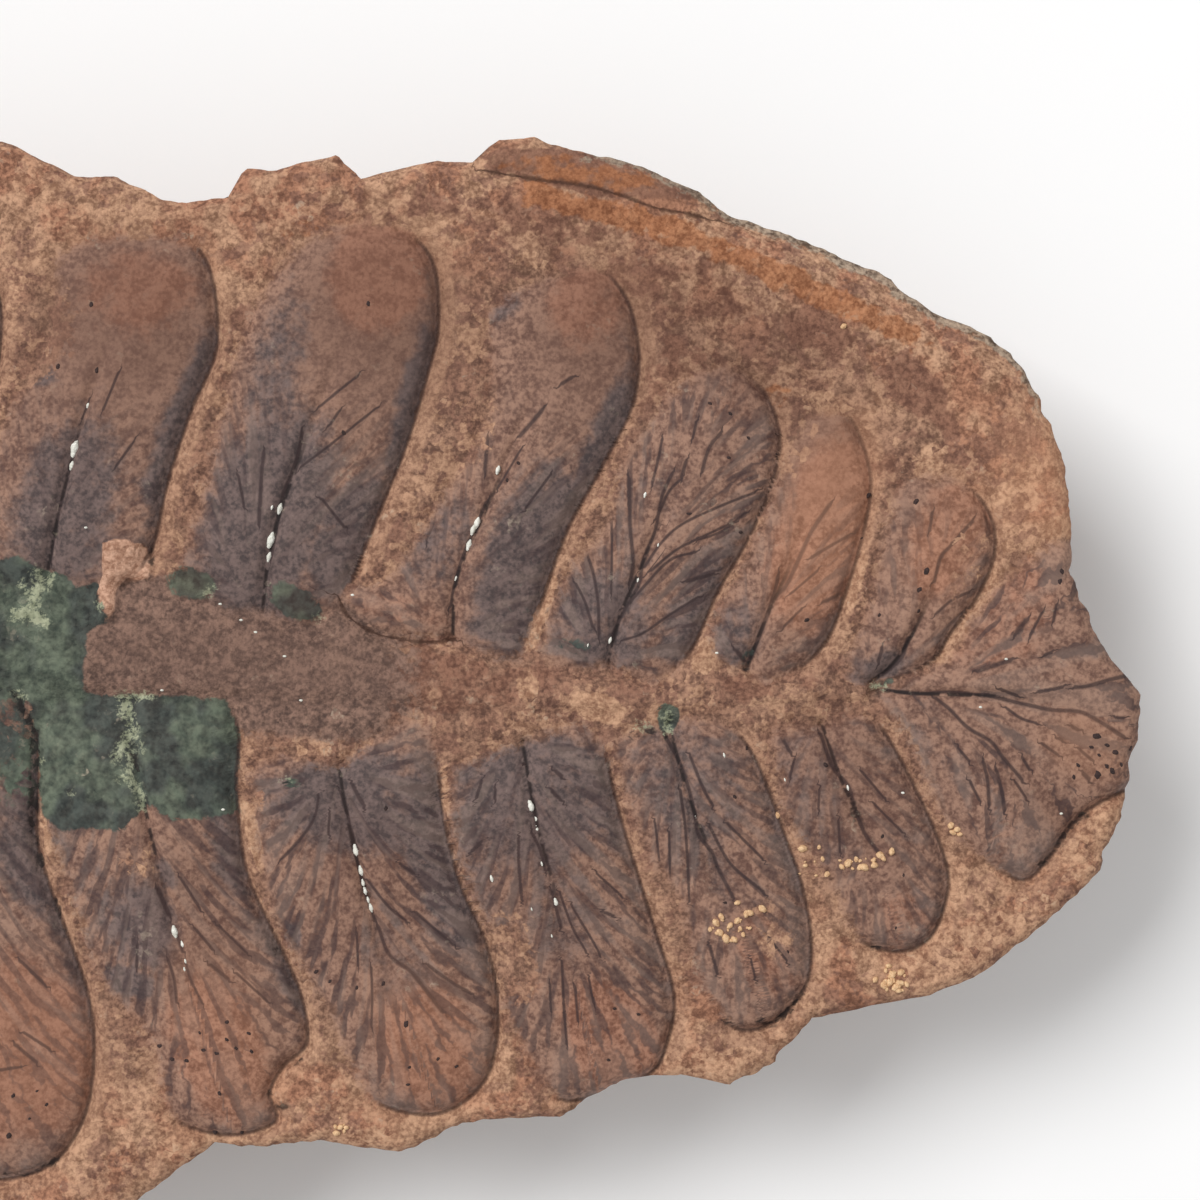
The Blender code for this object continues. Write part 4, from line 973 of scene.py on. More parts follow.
        (0.08, [(30.25, -6.1), (30.45, -7.95)]), (0.12, [(33.0, -12.35), (33.35, -13.6)]),
        (0.08, [(35.95, -11.9), (36.85, -13.05)]), (0.08, [(35.05, -13.05), (35.25, -13.85)]),
        (0.11, [(34.2, -4.8)]),
        (0.12, [(34.8, -2.4)]), (0.09, [(33.9, -6.2), (35.6, -7.9)]), (0.08, [(36.9, -12.6)]),
    ],
    "lower_6": [
        (0.13, [(38.55, -1.7), (39.1, -3.3), (39.9, -4.3), (40.2, -5.3), (40.7, -6.6), (41.4, -7.6)]),
        (0.12, [(38.75, -3.25)]), (0.18, [(39.35, -3.4)]), (0.08, [(38.45, -4.4), (38.4, -5.45)]),
        (0.12, [(42.65, -8.7)]), (0.10, [(36.6, -1.9), (37.0, -2.6)]), (0.08, [(37.2, -3.0), (37.0, -3.9)]),
        (0.08, [(40.6, -3.6), (41.7, -4.9)]), (0.08, [(41.2, -5.2), (42.6, -6.6)]), (0.09, [(42.3, -11.4)]),
        (0.08, [(39.4, -6.0), (39.5, -7.6)]), (0.09, [(41.6, -6.8)]),
    ],
}
CREVICES = [
    (0.12, [(33.7, -16.05), (34.2, -16.4)]), (0.13, [(35.5, -16.1), (36.0, -16.35)]),
    (0.12, [(36.5, -16.0), (36.95, -15.65), (37.4, -15.1), (37.75, -14.6)]),
    (0.08, [(-2.3, -23.85), (-1.3, -23.8), (-0.65, -23.6), (0.0, -23.3), (0.25, -22.9)]),
    (0.10, [(41.15, -12.4), (41.6, -12.5)]), (0.10, [(51.6, -5.85), (52.1, -5.8)]),
    (0.08, [(49.4, -8.5), (50.3, -7.7), (51.0, -6.6), (51.6, -6.0)]), (0.05, [(50.3, 8.1), (50.9, 8.05)]),
    (0.16, [(-1.95, 0.55), (-1.3, -0.7), (-0.85, -1.55), (-0.75, -3.1), (-0.85, -5.0), (-0.95, -6.4)]),
    (0.10, [(-0.85, -6.4), (-0.65, -7.4), (-0.5, -8.6)]), (0.05, [(0.1, -9.9), (0.8, -11.9)]),
    (0.08, [(4.1, -2.0), (4.3, -2.9), (4.42, -3.65)]), (0.12, [(11.25, -12.5)]),
    (0.06, [(12.5, -18.05), (11.6, -18.35)]), (0.14, [(10.85, -19.8)]),
    (0.06, [(11.0, -20.6), (11.85, -20.3)]),
    (0.12, [(30.15, -1.6), (29.2, -1.75)]), (0.12, [(30.75, -1.75)]), (0.13, [(34.8, 1.55)]),
    (0.2, [(41.4, 0.3)]),
    (0.10, [(12.0, 11.0)]), (0.06, [(5.1, 7.8), (5.15, 6.9)]), (0.08, [(15.05, -6.4), (15.35, -7.6)]),
    (0.07, [(15.6, -8.8), (15.9, -9.7)]), (0.10, [(11.6, -4.3), (12.0, -4.0)]), (0.09, [(13.35, -5.8)]),
    (0.07, [(39.95, -4.7), (40.35, -6.0)]), (0.06, [(42.0, 1.5), (41.2, 0.8)]),
    (0.07, [(21.5, 9.3), (21.75, 9.75)]),
    (0.06, [(28.7, 4.5), (29.3, 5.6)]), (0.06, [(0.2, 8.0), (0.5, 9.2)]), (0.06, [(11.3, 8.3), (11.5, 9.2)]),
]
PALE_STROKES = [
    (0.30, [(-0.75, 4.95)]), (0.24, [(-1.6, 4.25), (-0.9, 4.3), (-0.2, 3.95)]),
    (0.16, [(-0.7, 5.2), (-0.5, 5.9)]),
    (0.10, [(-0.65, 6.5), (-0.5, 5.9)]), (0.09, [(0.15, 6.25), (-0.2, 5.6)]),
    (0.07, [(-1.4, 5.8), (-1.0, 5.3)]),
    (0.25, [(3.75, -0.3), (3.9, -0.7)]), (0.06, [(3.4, 0.2), (5.1, 0.2)]),
    (0.12, [(4.1, -1.25), (3.75, -2.2), (3.45, -2.9)]), (0.08, [(4.3, -1.35), (4.65, -2.5)]),
    (0.08, [(4.1, -2.65), (4.1, -3.75), (4.55, -4.65), (4.7, -5.4)]), (0.06, [(3.65, -3.85), (4.2, -3.9)]),
    (0.08, [(-0.4, -3.0)]), (0.05, [(-1.7, 0.4), (-1.35, 0.1)]), (0.07, [(11.7, -3.9), (12.0, -3.95)]),
    (0.10, [(30.8, -0.7), (30.85, -1.6)]), (0.08, [(29.35, -1.25), (29.9, -1.4)]),
    (0.06, [(41.2, 0.65), (41.7, 0.6)]),
    (0.12, [(2.55, 4.7)]), (0.06, [(7.9, 5.3), (8.3, 5.6)]), (0.10, [(13.4, 4.1)]), (0.06, [(1.2, -4.6)]),
]
NO_STROKE = 9.0
BRUSH_REACH = 2.0
INK_REACH = 0.42
INK_SETS = 3


def stroke_route(stroke):
    """Return a stroke's line as places."""
    line = stroke[1]
    return smooth_line(line, False) if len(line) > 1 else np.array([line[0], line[0]])


def near_route(points, route):
    """Return which points are near enough to a route to be worth a closer look."""
    low = route.min(0) - BRUSH_REACH
    high = route.max(0) + BRUSH_REACH
    return np.flatnonzero(np.all((points > low) & (points < high), axis=1))


def brush(points, strokes):
    """Return how far each point is from the edge of the nearest stroke, negative within it."""
    gap = np.full(len(points), NO_STROKE)
    for stroke in strokes:
        near = near_route(points, stroke_route(stroke))
        if len(near):
            distance, _, _ = nearest_on_line(points[near], stroke_route(stroke))
            gap[near] = np.minimum(gap[near], distance - stroke[0])
    return gap


def pen(points, strokes):
    """Return the signed distance to the nearest stroke's middle and its half width, which is 0 far off."""
    gap = np.full(len(points), NO_STROKE)
    width = np.zeros(len(points))
    for stroke in strokes:
        route = stroke_route(stroke)
        near = near_route(points, route)
        if len(near) == 0:
            continue
        distance, _, place = nearest_on_line(points[near], route)
        closer = distance < np.abs(gap[near])
        chosen = near[closer]
        ahead = route[-1] - route[0]
        offset = points[chosen] - place[closer]
        side = np.where(ahead[0] * offset[:, 1] - ahead[1] * offset[:, 0] < 0.0, -1.0, 1.0)
        gap[chosen] = distance[closer] * side
        width[chosen] = np.where(distance[closer] < INK_REACH, stroke[0], 0.0)
    return gap, width


def apart(strokes, count):
    """Share strokes out to sets, so that the strokes of each set stand far from each other."""
    sets = [[] for _ in range(count)]
    for stroke in strokes:
        route = stroke_route(stroke)
        room = [min((nearest_on_line(route, stroke_route(other))[0].min() for other in chosen), default=99.0)
                for chosen in sets]
        sets[int(np.argmax(room))].append(stroke)
    return sets


drawn_lines = [stroke for strokes in INK.values() for stroke in strokes if len(stroke[1]) > 1]
dots = [stroke for strokes in INK.values() for stroke in strokes if len(stroke[1]) == 1]
ink_sets = apart(drawn_lines, INK_SETS)
print("strokes:", [len(chosen) for chosen in ink_sets], "veins,", len(dots), "dots,", len(CREVICES), "gaps")

# %% Store what the shader needs on the vertices
STEM_SKIN = (2.2, 5.0)
STEM_SKIN_END = (13.0, 23.0)
FAR_HALF_FROM = (-4.0, -12.0)
FAR_PATCH_SIZE = 7.0


def store(name, first, second, third):
    """Store three numbers for each face vertex as one attribute; the back's vertices get zeros."""
    values = np.zeros((len(vertices), 3))
    values[:len(face_points)] = np.column_stack([first, second, third])
    made = stone_mesh.attributes.new(name, "FLOAT_VECTOR", "POINT")
    made.data.foreach_set("vector", values.ravel())


far = ease(*(-edge for edge in FAR_HALF_FROM), -face_points[:, 0])
far_noise = noise_at(face_points, FAR_PATCH_SIZE, 70.0)
near_rib = np.exp(-(face_fields["along"] / 0.5) ** 2)
far_slate = far * np.clip(near_rib + far_noise * 0.9, 0.0, 1.0)
far_rust = far * np.clip(face_fields["along"] * 1.1 + far_noise * 0.6 - 0.2, 0.0, 1.0)
far_brown = far * np.clip(noise_at(face_points, FAR_PATCH_SIZE, 90.0) * 1.4, 0.0, 0.7)
from_crack = crack_distance(face_points)
from_stem, _, _ = nearest_on_line(face_points, smooth_line(STEM_LINE, False))
stem = (1.0 - ease(*STEM_SKIN, from_stem)) * (1.0 - ease(*STEM_SKIN_END, face_points[:, 0]))
from_rim = rim_distance(face_points)
outer = np.ones(len(face_points))
green_depth, _ = depth_in_line(face_points, np.array(GREEN_AREA + GREEN_AREA[:1]))

store("leaf", face_fields["depth"], face_fields["vein"], face_fields["across"])
store("rib", face_fields["rib"], face_fields["along"], crispness(face_fields))
store("edge", from_rim, broad_bevel_share(face_points), from_crack)
store("place", outer, stem, np.maximum(patches(face_points, WORN), chip_share(face_points)))
store("stain", np.maximum(patches(face_points, SLATE), far_slate),
      np.maximum(patches(face_points, RUST), far_rust),
      np.maximum(patches(face_points, GREEN), ease(-0.5, 0.5, green_depth)))
orange_band = 0.75 * (1.0 - ease(-0.4, 0.9, brush(face_points, ORANGE_BAND)))
store("accent", np.maximum(patches(face_points, ORANGE), orange_band),
      np.maximum(patches(face_points, BROWN), far_brown), chip_share(face_points))
store("detail", face_fields["strength"], patches(face_points, TAN), patches(face_points, SMOOTH))
first_gap, first_width = pen(face_points, ink_sets[0])
second_gap, second_width = pen(face_points, ink_sets[1])
third_gap, third_width = pen(face_points, ink_sets[2])
store("ink_gap", first_gap, second_gap, third_gap)
store("ink_width", first_width, second_width, third_width)
store("tone", crowding, patches(face_points, DARKER), patches(face_points, LIGHTER))
store("strokes", brush(face_points, CREVICES), brush(face_points, PALE_STROKES), np.zeros(len(outer)))
print("attributes:", [item.name for item in stone_mesh.attributes if item.data_type == "FLOAT_VECTOR"])

# %% [markdown]
# ## Short ways to build node trees
#
# A material of this kind has some hundred nodes. A few small helpers keep it readable: they add a node
# with its inputs, do a sum, mix two colours, and make or use a node group. A value that is a socket is
# linked, and a plain value is set.

# %% Helpers for node trees


def add_node(tree, kind, inputs=None, **settings):
    """Add a node, set its settings, and set or link its inputs."""
    made = tree.nodes.new(kind)
    for name, value in settings.items():
        setattr(made, name, value)
    for key, value in (inputs or {}).items():
        if isinstance(value, bpy.types.NodeSocket):
            tree.links.new(value, made.inputs[key])
        else:
            made.inputs[key].default_value = value
    return made


def calc(tree, operation, *values):
    """Return the output of a Math node."""
    return add_node(tree, "ShaderNodeMath", dict(enumerate(values)), operation=operation).outputs[0]


def blend(tree, share, below, above, mode="MIX"):
    """Return one colour laid over another by a share."""
    inputs = {0: share, 6: below, 7: above}
    return add_node(tree, "ShaderNodeMix", inputs, data_type="RGBA", blend_type=mode).outputs[2]


def step(tree, value, low, high):
    """Return 0 below low, 1 above high and a smooth step between them."""
    inputs = {"Value": value, "From Min": low, "From Max": high}
    return add_node(tree, "ShaderNodeMapRange", inputs, interpolation_type="SMOOTHSTEP").outputs[0]


def paint(red, green, blue):
    """Return a colour given as 0 to 255 on a screen, in the linear numbers that shaders use."""
    shares = [value / 255.0 for value in (red, green, blue)]
    linear = [s / 12.92 if s <= 0.04045 else ((s + 0.055) / 1.055) ** 2.4 for s in shares]
    return (*linear, 1.0)


def new_group(name, inputs, outputs):
    """Make a shader node group with named sockets, and return it with its two end nodes."""
    group = bpy.data.node_groups.new(name, "ShaderNodeTree")
    for socket, kind, value in inputs:
        made = group.interface.new_socket(socket, in_out="INPUT", socket_type=kind)
        if value is not None:
            made.default_value = value
    for socket, kind in outputs:
        group.interface.new_socket(socket, in_out="OUTPUT", socket_type=kind)
    return group, group.nodes.new("NodeGroupInput"), group.nodes.new("NodeGroupOutput")


def use_group(tree, group, inputs):
    """Place a node group in a tree."""
    made = tree.nodes.new("ShaderNodeGroup")
    made.node_tree = group
    for key, value in inputs.items():
        if isinstance(value, bpy.types.NodeSocket):
            tree.links.new(value, made.inputs[key])
        else:
            made.inputs[key].default_value = value
    return made


print("tan stone in linear numbers:", [round(value, 3) for value in paint(166, 128, 101)])

# %% [markdown]
# ## Grain
#
# Stone, crumbs and mineral beads are all made of grains, only of other sizes and contrast. So grain is a
# node group with those two as inputs: cells of random brightness for the grains, and fractal noise for
# the dirt between them. It gives a tone for the colour and a height for the bump.

# %% The grain group
grain_group, grain_in, grain_out = new_group(
    "Stone Grain",
    [("Point", "NodeSocketVector", None), ("Grain Size", "NodeSocketFloat", 0.4),
     ("Softness", "NodeSocketFloat", 0.5)],
    [("Tone", "NodeSocketFloat"), ("Height", "NodeSocketFloat")])
grain_scale = calc(grain_group, "DIVIDE", 1.0, grain_in.outputs["Grain Size"])
grain_cells = add_node(grain_group, "ShaderNodeTexVoronoi", {
    "Vector": grain_in.outputs["Point"], "Scale": grain_scale, "Randomness": 1.0})
grain_tones = add_node(grain_group, "ShaderNodeSeparateColor", {0: grain_cells.outputs["Color"]})
grain_dirt = add_node(grain_group, "ShaderNodeTexNoise", {
    "Vector": grain_in.outputs["Point"], "Scale": grain_scale, "Detail": 2.0, "Roughness": 0.8})
grain_mix = calc(grain_group, "ADD",
                 calc(grain_group, "MULTIPLY", grain_tones.outputs[0],
                      calc(grain_group, "SUBTRACT", 1.0, grain_in.outputs["Softness"])),
                 calc(grain_group, "MULTIPLY", step(grain_group, grain_dirt.outputs[0], 0.3, 0.7),
                      grain_in.outputs["Softness"]))
grain_group.links.new(grain_mix, grain_out.inputs["Tone"])
grain_group.links.new(
    calc(grain_group, "SUBTRACT", grain_mix, calc(grain_group, "MULTIPLY", grain_cells.outputs[0], 0.5)),
    grain_out.inputs["Height"])
print("grain group:", len(grain_group.nodes), "nodes")

# %% [markdown]
# ## Ragged edges
#
# Every stain is stored as a soft oval, and none of them looks soft on the stone. This group adds a broad
# and a fine noise to a soft value and then steepens it, which turns a smooth slope into a broken edge
# with islands. The noises come in from outside, because many stains can share the same few textures.

# %% The ragged mask group
ragged_group, ragged_in, ragged_out = new_group(
    "Ragged Mask",
    [("Amount", "NodeSocketFloat", 0.0), ("Broad", "NodeSocketFloat", 0.5),
     ("Fine", "NodeSocketFloat", 0.5), ("Raggedness", "NodeSocketFloat", 0.6),
     ("Edge", "NodeSocketFloat", 0.15)],
    [("Mask", "NodeSocketFloat")])
ragged_noise = calc(ragged_group, "SUBTRACT", calc(
    ragged_group, "ADD", ragged_in.outputs["Broad"], ragged_in.outputs["Fine"]), 1.0)
ragged_value = calc(ragged_group, "MULTIPLY_ADD", ragged_noise, ragged_in.outputs["Raggedness"],
                    ragged_in.outputs["Amount"])
ragged_group.links.new(
    step(ragged_group, ragged_value,
         calc(ragged_group, "SUBTRACT", 0.5, ragged_in.outputs["Edge"]),
         calc(ragged_group, "ADD", 0.5, ragged_in.outputs["Edge"])),
    ragged_out.inputs["Mask"])
print("ragged group:", len(ragged_group.nodes), "nodes")

# %% [markdown]
# ## Veins
#
# The vein number from above becomes lines here. The distance to the nearest line is a folded saw wave.
# Folding it again, by an amount that grows from the rib outwards, makes each line fork into two, and a
# second fold makes four. A drawing that clean would look printed, so noise in the veins' own coordinates
# changes each line's width and cuts it into dashes, and the stone's grain frays its edges. More of that
# noise, stretched along the veins, gives the broad streaks between them.

# %% The vein group
vein_group, vein_in, vein_out = new_group(
    "Leaf Veins",
    [("Waver", "NodeSocketFloat", 0.5), ("Grain", "NodeSocketFloat", 0.5),
     ("Vein Number", "NodeSocketFloat", 0.0), ("Across", "NodeSocketFloat", 0.0),
     ("Pitch", "NodeSocketFloat", VEIN_PITCH), ("Line Width", "NodeSocketFloat", 0.3)],
    [("Line", "NodeSocketFloat"), ("Streak", "NodeSocketFloat")])


def vein_noise(number_scale, along_scale, detail):
    """Return noise that is stretched along the veins."""
    place = add_node(vein_group, "ShaderNodeCombineXYZ", {
        0: calc(vein_group, "MULTIPLY", vein_in.outputs["Vein Number"], number_scale),
        1: calc(vein_group, "MULTIPLY", vein_in.outputs["Across"], along_scale)})
    return add_node(vein_group, "ShaderNodeTexNoise", {
        "Vector": place.outputs[0], "Scale": 1.0, "Detail": detail, "Roughness": 0.6},
        noise_dimensions="2D").outputs[0]


vein_streak = vein_noise(0.7, 1.6, 1.0)
vein_dash = vein_noise(1.1, 4.0, 1.0)
vein_place = calc(vein_group, "ADD", vein_in.outputs["Vein Number"],
                  calc(vein_group, "MULTIPLY",
                       calc(vein_group, "SUBTRACT", vein_in.outputs["Waver"], 0.5), 1.0))
vein_phase = calc(vein_group, "FRACT", calc(vein_group, "DIVIDE", vein_place, vein_in.outputs["Pitch"]))
vein_once = calc(vein_group, "ABSOLUTE", calc(vein_group, "SUBTRACT", vein_phase, 0.5))
vein_twice = calc(vein_group, "ABSOLUTE", calc(
    vein_group, "SUBTRACT", vein_once,
    calc(vein_group, "MULTIPLY", step(vein_group, vein_in.outputs["Across"], 0.1, 0.5), 0.25)))
vein_fourth = calc(vein_group, "ABSOLUTE", calc(
    vein_group, "SUBTRACT", vein_twice,
    calc(vein_group, "MULTIPLY", step(vein_group, vein_in.outputs["Across"], 0.45, 0.9), 0.125)))
vein_distance = calc(vein_group, "MULTIPLY", vein_fourth, vein_in.outputs["Pitch"])
vein_near = calc(vein_group, "SUBTRACT", 1.0,
                 calc(vein_group, "DIVIDE", vein_distance, vein_in.outputs["Line Width"]))
vein_frayed = calc(vein_group, "MULTIPLY_ADD",
                   calc(vein_group, "SUBTRACT", vein_in.outputs["Grain"], 0.5), 0.7, vein_near)
vein_cut = calc(vein_group, "MULTIPLY_ADD", calc(vein_group, "SUBTRACT", vein_dash, 0.5), 4.5, vein_frayed)
vein_group.links.new(step(vein_group, vein_cut, 0.25, 0.95), vein_out.inputs["Line"])
vein_group.links.new(step(vein_group, vein_streak, 0.32, 0.68), vein_out.inputs["Streak"])
print("vein group:", len(vein_group.nodes), "nodes")

# %% [markdown]
# ## The ironstone
#
# The stone's colour is built from the bottom up, as the stains lie on each other: tan stone with a painted
# highlight on the strip just outside the margins that face away from the light, brown and orange patches in
# it, the stem, the leaflets with slate and rust and with painted shade along those margins, their veins, then
# green and pale mineral, and last painted shade in the creases, the gaps below some margins and the crack.
# Each layer is one mix with its own mask. The back has its own colour, a weathered crust, and the two meet at
# the rim.

# %% Read the stored numbers and start the material
ironstone = bpy.data.materials.new("ironstone")
ironstone.use_nodes = True
tree = ironstone.node_tree
shader = tree.nodes["Principled BSDF"]
coordinates = add_node(tree, "ShaderNodeTexCoord")
point = add_node(tree, "ShaderNodeVectorMath", {0: coordinates.outputs["Object"], "Scale": 1.0 / MM},
                 operation="SCALE").outputs[0]


def stored(name):
    """Return the three numbers of a stored attribute."""
    read = add_node(tree, "ShaderNodeAttribute", attribute_name=name)
    return add_node(tree, "ShaderNodeSeparateXYZ", {0: read.outputs["Vector"]}).outputs


def three_noises(size, roughness):
    """Return three unlike noises from one texture."""
    texture = add_node(tree, "ShaderNodeTexNoise", {
        "Vector": point, "Scale": 1.0 / size, "Detail": 2.0, "Roughness": roughness})
    return add_node(tree, "ShaderNodeSeparateColor", {0: texture.outputs["Color"]}).outputs


def grain(size, softness):
    """Return the tone and height of grain of a size."""
    return use_group(tree, grain_group, {"Point": point, "Grain Size": size, "Softness": softness}).outputs


def ragged(amount, broad, fine, raggedness=1.0, edge=0.12):
    """Return a ragged mask from a soft amount and two noises."""
    return use_group(tree, ragged_group, {
        "Amount": amount, "Broad": broad, "Fine": fine, "Raggedness": raggedness, "Edge": edge}).outputs[0]


def tones(share, dark, light):
    """Return a colour between a dark and a light one."""
    return blend(tree, share, paint(*dark), paint(*light))


depth, vein_number, across = stored("leaf")
from_rib, along, crisp = stored("rib")
rim_gap, broad_rim, crack_gap = stored("edge")
on_face, on_stem, worn = stored("place")
slate, rust, green = stored("stain")
orange, brown, chip = stored("accent")
crowding_share, darker, lighter = stored("tone")
vein_strength, bright, smooth = stored("detail")
ink_gaps = stored("ink_gap")
ink_widths = stored("ink_width")
crevice, pale, _ = stored("strokes")
broad_a, broad_b, broad_c = three_noises(2.6, 0.6)
fine_a, fine_b, fine_c = three_noises(0.8, 0.75)
coarse_tone, coarse_height = grain(0.42, 0.4)
small_tone, _ = grain(0.2, 0.6)
print("ironstone started:", len(tree.nodes), "nodes")

# %% The tan stone
stone_tone = calc(tree, "MULTIPLY_ADD", coarse_tone, 0.35, calc(tree, "MULTIPLY", small_tone, 0.45))
stone_tone = calc(tree, "MULTIPLY_ADD", step(tree, fine_a, 0.32, 0.68), 0.3, stone_tone)
stone_tone = step(tree, stone_tone, 0.15, 0.95)
evenness = calc(tree, "SUBTRACT", 1.0, calc(tree, "MULTIPLY", smooth, 0.6))
stone_tone = calc(tree, "MULTIPLY_ADD", calc(tree, "SUBTRACT", stone_tone, 0.45), evenness, 0.45)
tan = tones(stone_tone, (124, 90, 70), (202, 158, 128))
warm = tones(stone_tone, (110, 74, 58), (186, 134, 106))
stone_colour = blend(tree, step(tree, broad_a, 0.44, 0.56), tan, warm)
inner = calc(tree, "MULTIPLY", step(tree, rim_gap, 2.5, 8.0), 0.8)
stone_colour = blend(tree, inner, stone_colour, tones(stone_tone, (90, 65, 56), (160, 121, 100)))
blotch = calc(tree, "MULTIPLY_ADD", coarse_tone, 0.15, calc(tree, "MULTIPLY_ADD", broad_b, 1.0, fine_b))
stone_colour = blend(tree, calc(tree, "MULTIPLY", step(tree, blotch, 1.1, 1.16), 0.7), stone_colour,
                     tones(stone_tone, (100, 70, 60), (146, 106, 88)))
light_blotch = calc(tree, "MULTIPLY_ADD", coarse_tone, 0.15, calc(tree, "MULTIPLY_ADD", broad_c, 1.0, fine_c))
# Painted highlight: the strip of stone just outside each margin that faces away from the light is made
# lighter, as if its raised edge caught the light. The light blotches and tan patches mixed in with it are the
# stone's own colour.
strip_highlight = calc(tree, "MULTIPLY", step(tree, calc(tree, "ABSOLUTE", calc(tree, "ADD", depth, 0.45)), 0.55, 0.3),
              step(tree, crisp, 0.3, 0.9))
light_stone_and_highlight = calc(tree, "MAXIMUM", calc(tree, "MULTIPLY", step(tree, light_blotch, 1.12, 1.18), 0.5),
                   calc(tree, "MULTIPLY", strip_highlight, 0.4))
light_stone_and_highlight = calc(tree, "MAXIMUM", light_stone_and_highlight, calc(
    tree, "MULTIPLY", ragged(bright, broad_a, coarse_tone, 0.5), 0.85))
stone_colour = blend(tree, light_stone_and_highlight, stone_colour, tones(stone_tone, (144, 104, 81), (208, 165, 133)))
brown_mask = ragged(brown, broad_b, fine_b)
stone_colour = blend(tree, calc(tree, "MULTIPLY", brown_mask, 0.85), stone_colour,
                     tones(stone_tone, (98, 66, 54), (150, 108, 88)))
orange_mask = ragged(orange, broad_c, fine_b)
stone_colour = blend(tree, calc(tree, "MULTIPLY", orange_mask, 0.75), stone_colour,
                     tones(stone_tone, (128, 76, 46), (188, 126, 86)))
stem_mask = ragged(on_stem, broad_b, coarse_tone, 0.35, 0.15)
stone_colour = blend(tree, calc(tree, "MULTIPLY", stem_mask, 0.9), stone_colour,
                     tones(stone_tone, (80, 63, 57), (144, 114, 100)))
stone_colour = blend(tree, calc(tree, "MULTIPLY", step(tree, chip, 0.3, 0.7), 0.9), stone_colour,
                     tones(stone_tone, (150, 108, 86), (218, 174, 148)))

# %% The leaflets
VEIN_LINE_WIDTH = 0.22
veins = use_group(tree, vein_group, {
    "Waver": fine_c, "Grain": small_tone, "Vein Number": vein_number, "Across": across,
    "Line Width": calc(tree, "MULTIPLY", crowding_share, VEIN_LINE_WIDTH)})
leaf_tone = calc(tree, "MULTIPLY_ADD", coarse_tone, 0.2, calc(tree, "MULTIPLY", small_tone, 0.45))
leaf_tone = calc(tree, "MULTIPLY_ADD", step(tree, fine_a, 0.3, 0.7), 0.4, leaf_tone)
leaf_tone = step(tree, leaf_tone, 0.1, 0.9)
leaf_tone = calc(tree, "MULTIPLY_ADD", calc(tree, "SUBTRACT", leaf_tone, 0.4), evenness, 0.4)
leaf_colour = tones(leaf_tone, (98, 70, 61), (160, 124, 105))
# Painted shade: a band up to 1.9 mm inside each margin that faces away from the light is added to the slate
# stain, so the slate colour there is partly stain and partly painted shade.
shade_side = calc(tree, "MULTIPLY", calc(tree, "MULTIPLY", step(tree, depth, 1.9, 0.1), crisp), 0.35)
streak = calc(tree, "MULTIPLY_ADD", calc(tree, "SUBTRACT", veins.outputs["Streak"], 0.5), vein_strength, 0.5)
slate_noise = calc(tree, "MULTIPLY_ADD", broad_a, 0.6, calc(tree, "MULTIPLY", streak, 0.4))
slate_and_shade_mask = ragged(calc(tree, "ADD", slate, shade_side), slate_noise, fine_b, 0.95, 0.35)
leaf_colour = blend(tree, calc(tree, "MULTIPLY", slate_and_shade_mask, 0.95), leaf_colour,
                    tones(leaf_tone, (70, 61, 61), (116, 98, 94)))
rust_mask = ragged(rust, broad_b, fine_c, 0.7, 0.25)
leaf_colour = blend(tree, calc(tree, "MULTIPLY", rust_mask, 0.85), leaf_colour,
                    tones(leaf_tone, (112, 72, 56), (172, 124, 101)))

# %% Veins and ribs on the leaflets
inside_margin = step(tree, depth, 0.1, 0.4)
vein_shown = calc(tree, "MULTIPLY", vein_strength, inside_margin)
vein_share = calc(tree, "MULTIPLY", veins.outputs["Line"], vein_shown)
leaf_colour = blend(tree, calc(tree, "MULTIPLY", vein_share, 0.72), leaf_colour, paint(66, 51, 52))
pale_streak = step(tree, streak, 0.5, 1.0)
leaf_colour = blend(tree, calc(tree, "MULTIPLY", pale_streak, 0.22), leaf_colour, paint(160, 136, 122))
ink_fray = calc(tree, "MULTIPLY_ADD", small_tone, 0.9, 0.75)
drawn_share = 0.0
for gap, half_width in zip(ink_gaps, ink_widths):
    half_width = calc(tree, "MULTIPLY", half_width, ink_fray)
    line = step(tree, calc(tree, "ABSOLUTE", gap), calc(tree, "ADD", half_width, 0.001),
                calc(tree, "MULTIPLY", half_width, 0.3))
    drawn_share = calc(tree, "MAXIMUM", drawn_share, line)
drawn_share = calc(tree, "MULTIPLY", drawn_share, inside_margin)
leaf_colour = blend(tree, calc(tree, "MULTIPLY", drawn_share, 0.8), leaf_colour, paint(54, 41, 42))
rib_gap = calc(tree, "ABSOLUTE", from_rib)
rib_dark = calc(tree, "MULTIPLY", step(tree, rib_gap, 0.16, 0.03), step(tree, along, 0.55, 0.3))
rib_dark = calc(tree, "MULTIPLY", rib_dark, step(tree, fine_b, 0.38, 0.5))
leaf_colour = blend(tree, calc(tree, "MULTIPLY", rib_dark, 0.9), leaf_colour, paint(36, 28, 28))

# %% Lay the leaflets on the stone
softness = calc(tree, "SUBTRACT", 0.6, calc(tree, "MULTIPLY", crisp, 0.5))
margin_noise = calc(tree, "SUBTRACT", calc(tree, "ADD", fine_a, coarse_tone), 1.0)
margin_depth = calc(tree, "MULTIPLY_ADD", margin_noise, calc(tree, "MULTIPLY", softness, 1.1), depth)
leaf_mask = step(tree, margin_depth, calc(tree, "MULTIPLY", softness, -0.4), softness)
worn_mask = ragged(worn, broad_c, coarse_tone, 0.6)
leaf_mask = calc(tree, "MULTIPLY", leaf_mask, calc(tree, "SUBTRACT", 1.0, worn_mask))
face_colour = blend(tree, leaf_mask, stone_colour, leaf_colour)
